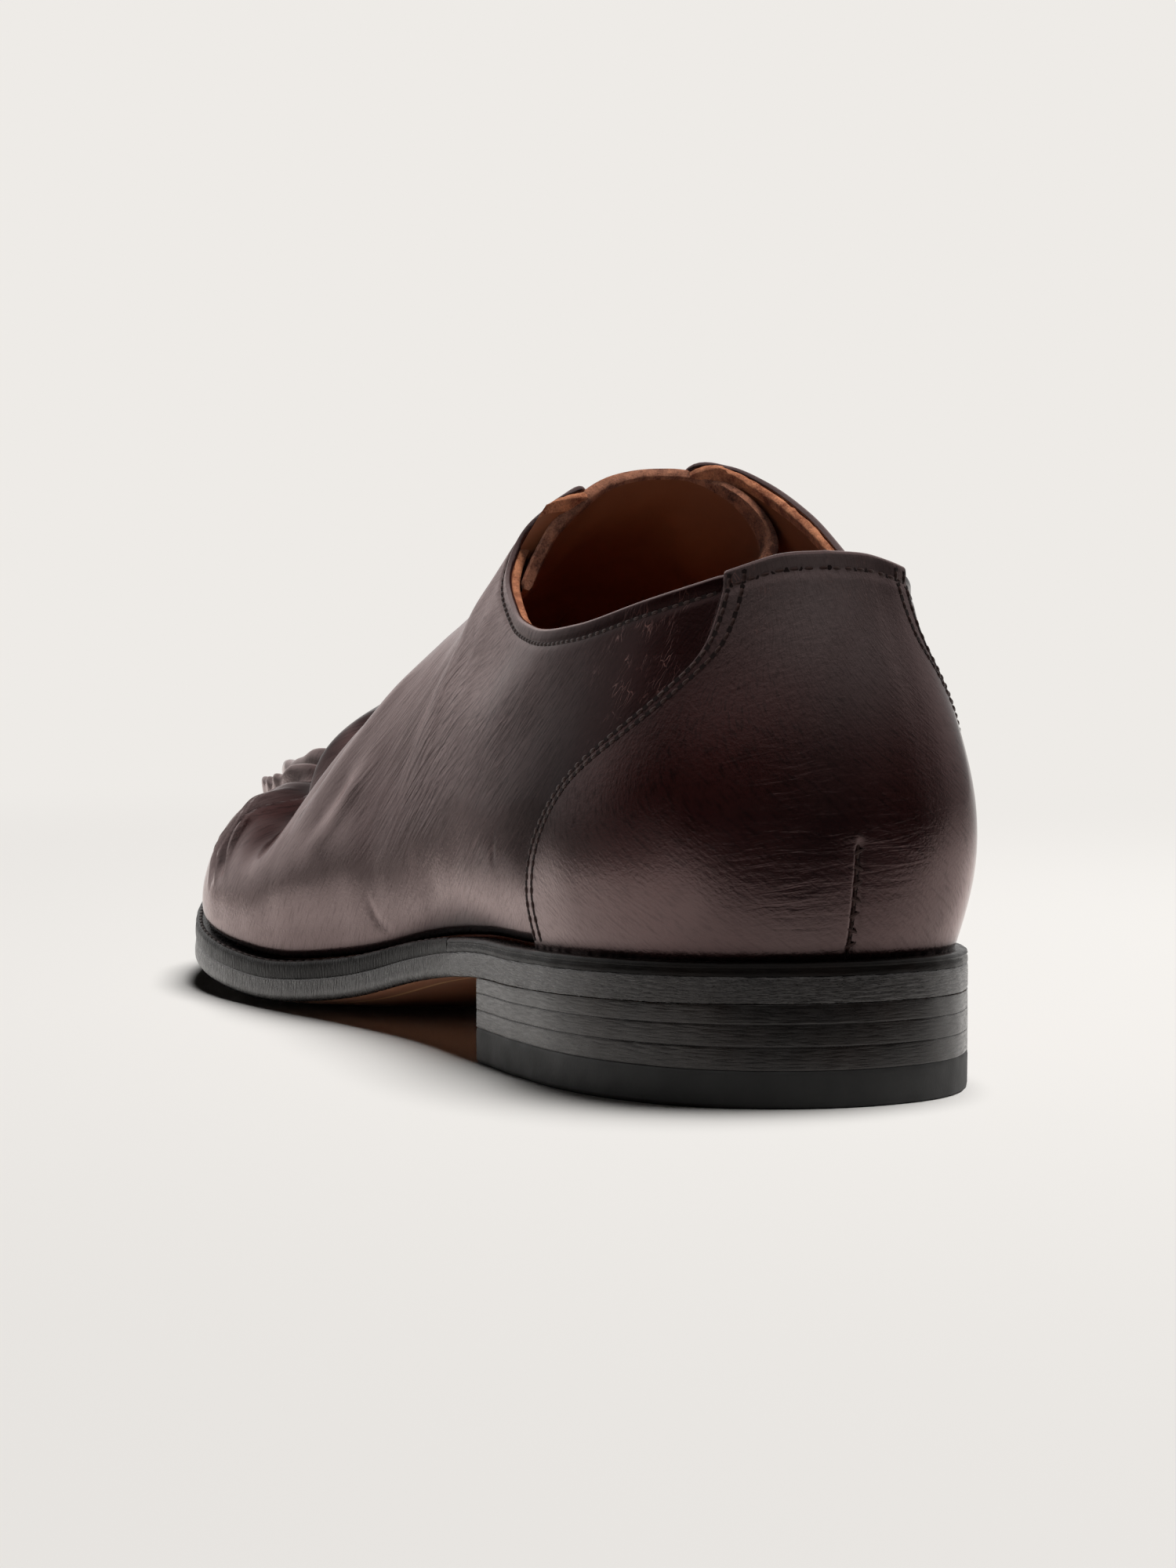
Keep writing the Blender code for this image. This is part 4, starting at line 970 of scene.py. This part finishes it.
# counter: one piece of calf wrapped round the heel, its front edges turned and sewn with two rows, a dart at the back
counterValues = {
    "names": ("v", "at"),
    "rows": ((0, 3.85), (0.15, 3.95), (0.30, 3.83), (0.45, 3.45), (0.60, 2.85), (0.72, 2.38), (0.80, 2.08), (0.90, 1.95),
             (1, 1.92)),
    "inside": 0.05, "thick": 1.25, "thin": 0.12, "round": 0.9, "sway": 0.6,
    "edgeSteps": (0, 0.06, 0.16, 0.32, 0.55, 0.9, 1.3, 1.8, 2.5, 3.4),
    "columns": (100, 80), "upRows": 84, "fold": 0.6, "foldRows": 8, "backRows": 7, "runRow": 40,
    "dart": (2.0, 24.0, 41.5), "dartFoot": (-4.0, 1.0), "dartTop": (-1.5, 1.0), "dartBack": 12,
    "dartGroove": (-0.75, 0.0, 0.55), "dartHollow": (-0.35, 0.0, 4.5), "backBunch": 1.5,
    "collarGroove": (-0.28, 2.7, 0.7), "collarBead": (0.14, 0.7, 0.8),
    # painted shade along the feather line and over the counter above its foot
    "shadeLine": 1.4, "shadeAll": 0.55, "shadeFoot": (0.16, 0.34),
    "glow": ((-1, 2.4, 0.44, 16, 0.6), (-1, 1.65, 0.54, 17, 0.6), (-1, 1.25, 0.64, 15, 0.5), (-1, 0.6, 0.8, 12, 0.3),
             (1, 0.8, 0.5, 16, 0.35), (1, 2.2, 0.5, 18, 0.5)),
    "scuff": ((-1, 1.7, 0.93, 6, 0.7), (1, 0.6, 0.93, 5, 0.4)),
    "wrinkle": ((-1, 0.50, 0.32, 9, 1.0), (-1, 0.43, 0.16, 8, 0.8), (1, 0.35, 0.30, 9, 1.0), (-1, 1.2, 0.86, 14, 0.25)),
    # painted highlights on the counter's top
    "painted_highlight": ((-1, 0.1, 0.90, 14, 0.9), (-1, 1.2, 0.93, 13, 0.55), (1, 0.6, 0.8, 14, 0.7)),
}
counterTable = table(counterValues["names"], counterValues["rows"])


def counterEdge(v):
    return smooth(counterTable["v"], counterTable["at"], v)


def placeWidth(at, side, v):
    step = last["slopeStep"]
    return np.linalg.norm(section(at + step, side, v) - section(at - step, side, v), axis=-1) / (2 * step)


def counterSkin(at, side, v, away):
    values = counterValues
    normal, rising, span = facing(at, side, v)
    points = section(at, side, v)
    across, behind, height = points[..., 0], points[..., 1], points[..., 2]
    below = (1.0 - v) * span
    curl = np.sqrt(np.clip(1.0 - (1.0 - np.clip(away / values["round"], 0.0, 1.0)) ** 2, 0.0, 1.0))
    lift = values["inside"] + values["thin"] + (values["thick"] - values["thin"]) * curl + collarShape(below, values)
    lift = lift + values["sway"] * sway(points, v * span, below)
    x, low, high = values["dart"]
    window = ease(*[low + end for end in values["dartFoot"]], height)
    window = window * (1.0 - ease(*[high + end for end in values["dartTop"]], height)) * (behind < values["dartBack"])
    lift = lift + window * (bell(across - x, values["dartGroove"]) + bell(across - x, values["dartHollow"]))
    return points + normal * lift[..., None], points, normal, rising


def makeCounter():
    values = counterValues
    grids, marks = [], {mark: [] for mark in patchNames}
    for side, count in zip((-1, 1), values["columns"]):
        shares = np.linspace(1.0, 0.0, count) ** values["backBunch"]
        spanTop = facing(np.array([1.0]), side, np.array([1.0]))[2][0]
        v = np.linspace(0.0, 1.0 - values["fold"] / spanTop, values["upRows"])
        front = counterEdge(v)
        width = placeWidth(front, side, v)
        near = front[:, None] - np.array(values["edgeSteps"])[None] / width[:, None]
        at = np.concatenate([near, near[:, -1:] * shares[None, 1:]], axis=1)
        tall = np.broadcast_to(v[:, None], at.shape)
        outer, plain, _, rising = counterSkin(at, side, tall, (front[:, None] - at) * width[:, None])
        backAt = at[np.round(np.linspace(values["upRows"] - 1, 0, values["backRows"])).astype(int)]
        backV = np.broadcast_to(np.linspace(v[-1], 0.0, values["backRows"])[:, None], backAt.shape)
        inner = section(backAt, side, backV) + facing(backAt, side, backV)[0] * values["inside"]
        bends = foldOver(outer[-1], inner[0], rising[-1], values["fold"], values["foldRows"])
        grid = np.concatenate([outer, bends, inner, outer[:1]])
        order = slice(None) if side < 0 else slice(-2, None, -1)  # the back column is shared
        for mark in marks:
            value = np.zeros(grid.shape[:2])
            value[:len(outer)] = patches(plain, values.get(mark, ()))
            # painted shade: a band along the feather line and a darker tint over the counter above its foot
            if mark == "painted_shade":
                line = np.exp(-(tall * spanTop / values["shadeLine"]) ** 2)
                value[:len(outer)] = np.maximum(line, values["shadeAll"] * ease(*values["shadeFoot"], tall))
            marks[mark].append(value[:, order])
        grids.append(grid[:, order])
    points = np.concatenate(grids, axis=1)
    marks = {mark: np.concatenate(value, axis=1) for mark, value in marks.items()}
    uv = uvGrid(lengths(points[values["runRow"]])[None], lengths(points[:, points.shape[1] // 2])[:, None])
    dress(gridPiece("calf_counter", points, uv, marks, angle=70), "calf", calf, nodes=("counter",))


makeCounter()
print("counter made")


# tongue: a curved leaf, its cut top edge standing inside the quarters
tongueValues = {
    "topEdge": ((-18.5, 104, 79.0), (-16.9, 105, 82.3), (-15.5, 105, 85.3), (-12.3, 105, 90.7), (-8.2, 105, 94.6),
                (-5.4, 105.5, 96.7), (-2.2, 106, 98.3), (0.6, 106.5, 99.1), (4.6, 107, 99.7), (8.1, 107, 99.8),
                (11.2, 107, 99.7), (17.1, 105, 98.1), (21.6, 103, 95.3), (24.1, 101, 92.2), (25.2, 98.5, 88.6),
                (24.7, 96.5, 86.2), (22.8, 95.5, 84.2)),
    "stations": (7.0, 7.3, 7.7, 8.2, 8.7), "hems": (0.66, 0.70, 0.76, 0.80, 0.84), "lift": -3.3, "thick": 2.3,
    "topThin": 0.34, "sideThin": 0.2, "across": 60, "along": 44, "bulge": 1.2, "climb": (0.985, 5),
    "topRows": (0.0, 0.3, 0.7, 1.2), "rowsFrom": 2.0,
}


def makeTongue():
    values = tongueValues
    across = values["across"]
    lines = [evenCurve(values["topEdge"], across)]
    for at, hem in zip(values["stations"], values["hems"]):
        climb = np.linspace(hem, *values["climb"])
        lift = np.full(len(climb), values["lift"])
        left, right = [offsetSheet(np.full(len(climb), at), side, climb, lift) for side in (-1, 1)]
        crown = (left[-1] + right[-1]) / 2 + upward * values["bulge"]
        lines.append(evenCurve(np.concatenate([left, [crown], right[::-1]]), across))
    lines = np.array(lines)
    run = lengths(lines[:, across // 2])
    where = np.concatenate([values["topRows"], np.linspace(values["rowsFrom"], run[-1], values["along"])])
    middle = np.empty((across, len(where), 3))
    for i in range(across):
        for k in range(3):
            middle[i, :, k] = smooth(run, lines[:, i, k], where)
    normal = unit(np.cross(np.gradient(middle, axis=1), np.gradient(middle, axis=0)))
    normal = normal * np.sign(np.mean(normal[across // 2, :, 2]))
    half = np.full(middle.shape[:2], values["thick"] / 2)
    half[:, 0] = values["thick"] * values["topThin"]
    half[0] = half[-1] = values["thick"] * values["sideThin"]
    over = middle + normal * half[..., None]
    under = middle - normal * half[..., None]
    loop = np.concatenate([over, under[::-1], over[:1]])
    end = np.concatenate([middle, middle[::-1], middle[:1]])[:, :1]
    points = np.concatenate([end, loop], axis=1)
    slots = np.zeros((points.shape[0] - 1, points.shape[1] - 1), dtype=int)
    slots[across - 1:] = 1
    slots[:, :2] = 2
    slots[across - 1:, :4] = 2
    uv = uvGrid(np.concatenate([[-1.0], where])[None], np.arange(2.0 * across + 1)[:, None])
    piece = gridPiece("tongue_leaf", points, uv, faceSlots=slots, fill=True, angle=50)
    dress(piece, "lining", calf, tanLining, tongueEdge, nodes=("tongue",))


makeTongue()
print("tongue made")


# lace: a round waxed cord across each pair of eyelets, its ends going down through the holes
laceValues = {"places": (7.02, 7.3, 7.6), "eyelet": 8.0, "radius": 1.15, "ringSize": (2.3, 0.42), "ringSteps": (28, 8),
              "ringLift": 0.1, "sides": 12, "steps": 46, "edgeAt": 0.985, "edgeLift": 1.5, "crownLift": 0.5,
              "depths": (-2.6, -0.6), "bend": (1.1, 0.06)}


def tubePoints(path, radius, sides):
    tangent = unit(np.gradient(path, axis=0))
    side = unit(np.cross(tangent, np.array([0.0, 1.0, 0.3])))
    angles = np.linspace(0, 2 * np.pi, sides + 1)[:, None, None]
    return path[None] + radius * (np.cos(angles) * side[None] + np.sin(angles) * np.cross(tangent, side)[None])


# the eyelet's middle, the way out of the leather there, and the lace's place over the facing's edge
def eyeletAt(place, side):
    at = np.array([place])
    v = 1.0 - laceValues["eyelet"] / facing(at, side, np.array([1.0]))[2]
    edge = upperSkin(at, side, np.array([laceValues["edgeAt"]]))[0][0] + upward * laceValues["edgeLift"]
    return upperSkin(at, side, v)[0][0], facing(at, side, v)[0][0], edge


def makeLaces():
    values = laceValues
    for number, at in enumerate(values["places"], 1):
        (left, leftUp, leftEdge), (right, rightUp, rightEdge) = eyeletAt(at, -1), eyeletAt(at, 1)
        crown = (leftEdge + rightEdge) / 2 + upward * values["crownLift"]
        ends = []
        for spot, up in ((left, leftUp), (right, rightUp)):
            bend = spot + up * values["bend"][0] + (crown - spot) * values["bend"][1]
            ends.append([spot + up * depth for depth in values["depths"]] + [bend])
        path = evenCurve(ends[0] + [leftEdge, crown, rightEdge] + ends[1][::-1], values["steps"])
        points = tubePoints(path, values["radius"], values["sides"])
        girth = np.linspace(0, 2 * np.pi * values["radius"], values["sides"] + 1)
        piece = gridPiece(f"lace_{number}", points, uvGrid(lengths(path)[None], girth[:, None]), fill=True, angle=60)
        dress(piece, "lace", laceCord, nodes=(f"lace_bar_{number}",))
        for name, spot, up in (("outer", left, leftUp), ("inner", right, rightUp)):
            bpy.ops.object.select_all(action="DESELECT")
            (wide, thin), (around, small) = values["ringSize"], values["ringSteps"]
            bpy.ops.mesh.primitive_torus_add(major_radius=wide * mm, minor_radius=thin * mm, major_segments=around,
                                             minor_segments=small)
            ring = bpy.context.object
            ring.name = f"eyelet_{name}_{number}"
            ring.data.transform(Vector(up).to_track_quat("Z", "Y").to_matrix().to_4x4())
            ring.data.transform(Matrix.Translation(Vector((spot + up * values["ringLift"] - last["middle"]) * mm)))
            bpy.ops.object.shade_smooth()
            dress(ring, "calf", thread)


makeLaces()
print("laces made")


# stitches: small rounded threads along every seam, with a flat dark disc at each end as painted shade of the needle
# hole
stitchValues = {
    "collar": {"away": 2.8, "pitch": 2.3, "size": (1.5, 0.66, 0.5), "run": (2.05, 6.82, 400), "back": (1.78, 120)},
    "counter": {"away": (1.5, 4.2), "pitch": 2.4, "size": (1.55, 0.72, 0.55), "run": (0.02, 0.985, 300)},
    "facing": {"away": (2.8, 5.0), "pitch": 2.3, "size": (1.5, 0.66, 0.5), "run": (6.9, 8.05, 160)},
    "moc": {"pitch": 5.2, "size": (2.2, 0.7, 0.5), "lift": 0.15, "run": (9.85, last["toe"], 500)},
    "welt": {"away": 1.2, "pitch": 3.3, "size": (2.3, 0.6, 0.2), "lift": 0.03, "run": (last["weltEnd"] + 0.1, last["toe"], 500)},
    "dart": {"pitch": 2.4, "size": (2.3, 0.6, 0.5), "lift": 0.5, "slant": 0.45, "coreSize": (2.52, 0.7, 0.7), "coreLift": 0.15,
             "run": (0.0, 0.6, 200), "topGap": 0.5},
    # radius, place and lift of the dark discs painted as needle-hole shade
    "hole": 0.42, "holeShare": 0.62, "holeLift": 0.06, "flat": 9.0,  # mm from the counter's turned edge
}


def stitchShape():
    bpy.ops.object.select_all(action="DESELECT")
    bpy.ops.mesh.primitive_uv_sphere_add(segments=8, ring_count=5, radius=1.0)
    shape = bpy.context.object
    verts = np.array([v.co[:] for v in shape.data.vertices])[:, [2, 0, 1]]
    faces = [tuple(p.vertices) for p in shape.data.polygons]
    bpy.data.objects.remove(shape)
    return verts, faces


def spread(line, normals, pitch):
    run = lengths(line)
    count = max(2, int(round(run[-1] / pitch)))
    where = (np.arange(count) + 0.5) * run[-1] / count
    at = lambda values, x: np.stack([np.interp(x, run, values[:, i]) for i in range(3)], axis=-1)
    centre, up = at(line, where), at(normals, where)
    along = unit(at(line, np.clip(where + 0.3, 0, run[-1])) - at(line, np.clip(where - 0.3, 0, run[-1])))
    return centre, along, unit(up - along * np.sum(up * along, axis=1, keepdims=True))


def sewn(name, rows):
    verts, faces = stitchShape()
    allVerts, allFaces, holes, holeFaces = [], [], [], []
    ring = np.linspace(0, 2 * np.pi, 7)[:-1]
    for centre, along, up, size in rows:
        for c, a, s, u in zip(centre, along, np.cross(up, along), up):
            allFaces += [tuple(i + len(allVerts) * len(verts) for i in face) for face in faces]
            long = c + verts[:, :1] * a * size[0] / 2
            allVerts.append(long + verts[:, 1:2] * s * size[1] / 2 + verts[:, 2:] * u * size[2] / 2)
            # a flat dark disc at each end of the stitch: painted shade of the needle hole
            for end in (-1, 1):
                holeFaces.append(tuple(range(len(holes) * len(ring), (len(holes) + 1) * len(ring))))
                spot = c + a * end * size[0] * stitchValues["holeShare"] + u * stitchValues["holeLift"]
                holes.append(spot + stitchValues["hole"] * (np.cos(ring)[:, None] * a + np.sin(ring)[:, None] * s))
    for label, corners, polygons, look in ((name, allVerts, allFaces, thread), (name + "_holes", holes, holeFaces, needleHoleShade)):
        data = bpy.data.meshes.new(label)
        data.from_pydata(((np.concatenate(corners) - last["middle"]) * mm).tolist(), [], polygons)
        piece = bpy.data.objects.new(label, data)
        bpy.context.scene.collection.objects.link(piece)
        select(piece)
        if corners is allVerts:
            bpy.ops.object.shade_smooth()
        dress(piece, "calf", look)


def skinLine(side, places, away):
    v = 1.0 - away / facing(places, side, np.ones(len(places)))[2]
    return upperSkin(places, side, v)[0], facing(places, side, v)[0]


def counterLine(side, v, away):
    front = counterEdge(v)
    at = front - away / placeWidth(front, side, v)
    points, _, normal, _ = counterSkin(at, side, v, np.broadcast_to(away, v.shape))
    return points, normal


def backLine(side, places, away):
    v = 1.0 - away / facing(places, side, np.ones(len(places)))[2]
    points, _, normal, _ = counterSkin(places, side, v, np.full(len(places), stitchValues["flat"]))
    return points, normal


def makeStitches():
    values = stitchValues
    sewnRow = lambda line, row: spread(*line, row["pitch"]) + (row["size"],)
    collar, front, counter, moc, dart, welt = [values[n] for n in ("collar", "facing", "counter", "moc", "dart", "welt")]
    rows = []
    for side in (-1, 1):
        rows.append(sewnRow(skinLine(side, np.linspace(*collar["run"]), collar["away"]), collar))
        rows += [sewnRow(skinLine(side, np.linspace(*front["run"]), away), front) for away in front["away"]]
    end, count = collar["back"]
    halves = [backLine(side, places, collar["away"])
              for side, places in ((-1, np.linspace(end, 0.0, count)), (1, np.linspace(0.0, end, count)[1:]))]
    rows.append(sewnRow([np.concatenate(part) for part in zip(*halves)], collar))
    for side in (-1, 1):
        rows += [sewnRow(counterLine(side, np.linspace(*counter["run"]), away), counter) for away in counter["away"]]
    sewn("upper_stitches", rows)

    rows = []
    for side in (-1, 1):
        places = np.linspace(*moc["run"])
        v = seamHeightAt(places)
        centre, along, up = spread(upperSkin(places, side, v)[0], facing(places, side, v)[0], moc["pitch"])
        rows.append((centre + up * moc["lift"], np.cross(up, along), up, moc["size"]))
    sewn("moc_stitches", rows)

    x, low, high = counterValues["dart"]
    v = np.linspace(*dart["run"])
    fine = np.linspace(0, 1, 200)
    backOf = np.interp(x, outline(fine, 1)[:, 0], fine)
    points, plain, normal, _ = counterSkin(np.full(len(v), backOf), 1, v, np.full(len(v), values["flat"]))
    kept = (plain[:, 2] > low) & (plain[:, 2] < high - dart["topGap"])
    centre, along, up = spread(points[kept], normal[kept], dart["pitch"])
    slant = unit(np.cross(up, along) + along * np.where(np.arange(len(along)) % 2, dart["slant"], -dart["slant"])[:, None])
    sewn("dart_stitches", [(centre + up * dart["lift"], slant, up, dart["size"]),
                           (centre + up * dart["coreLift"], along, up, dart["coreSize"])])

    rows = []
    for side in (-1, 1):
        places = np.linspace(*welt["run"])
        plan = insideEdge(places, side, np.full(len(places), welt["away"]))
        line = np.column_stack([plan, soleValue("bottom", places) + soleValue("stack", places) + welt["lift"]])
        rows.append(sewnRow((line, np.broadcast_to(upward, line.shape)), welt))
    sewn("welt_stitches", rows)


makeStitches()
print("stitches sewn")


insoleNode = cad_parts["insole"]
insoleNode.data.materials.clear()
insoleNode.data.materials.append(tanLining)
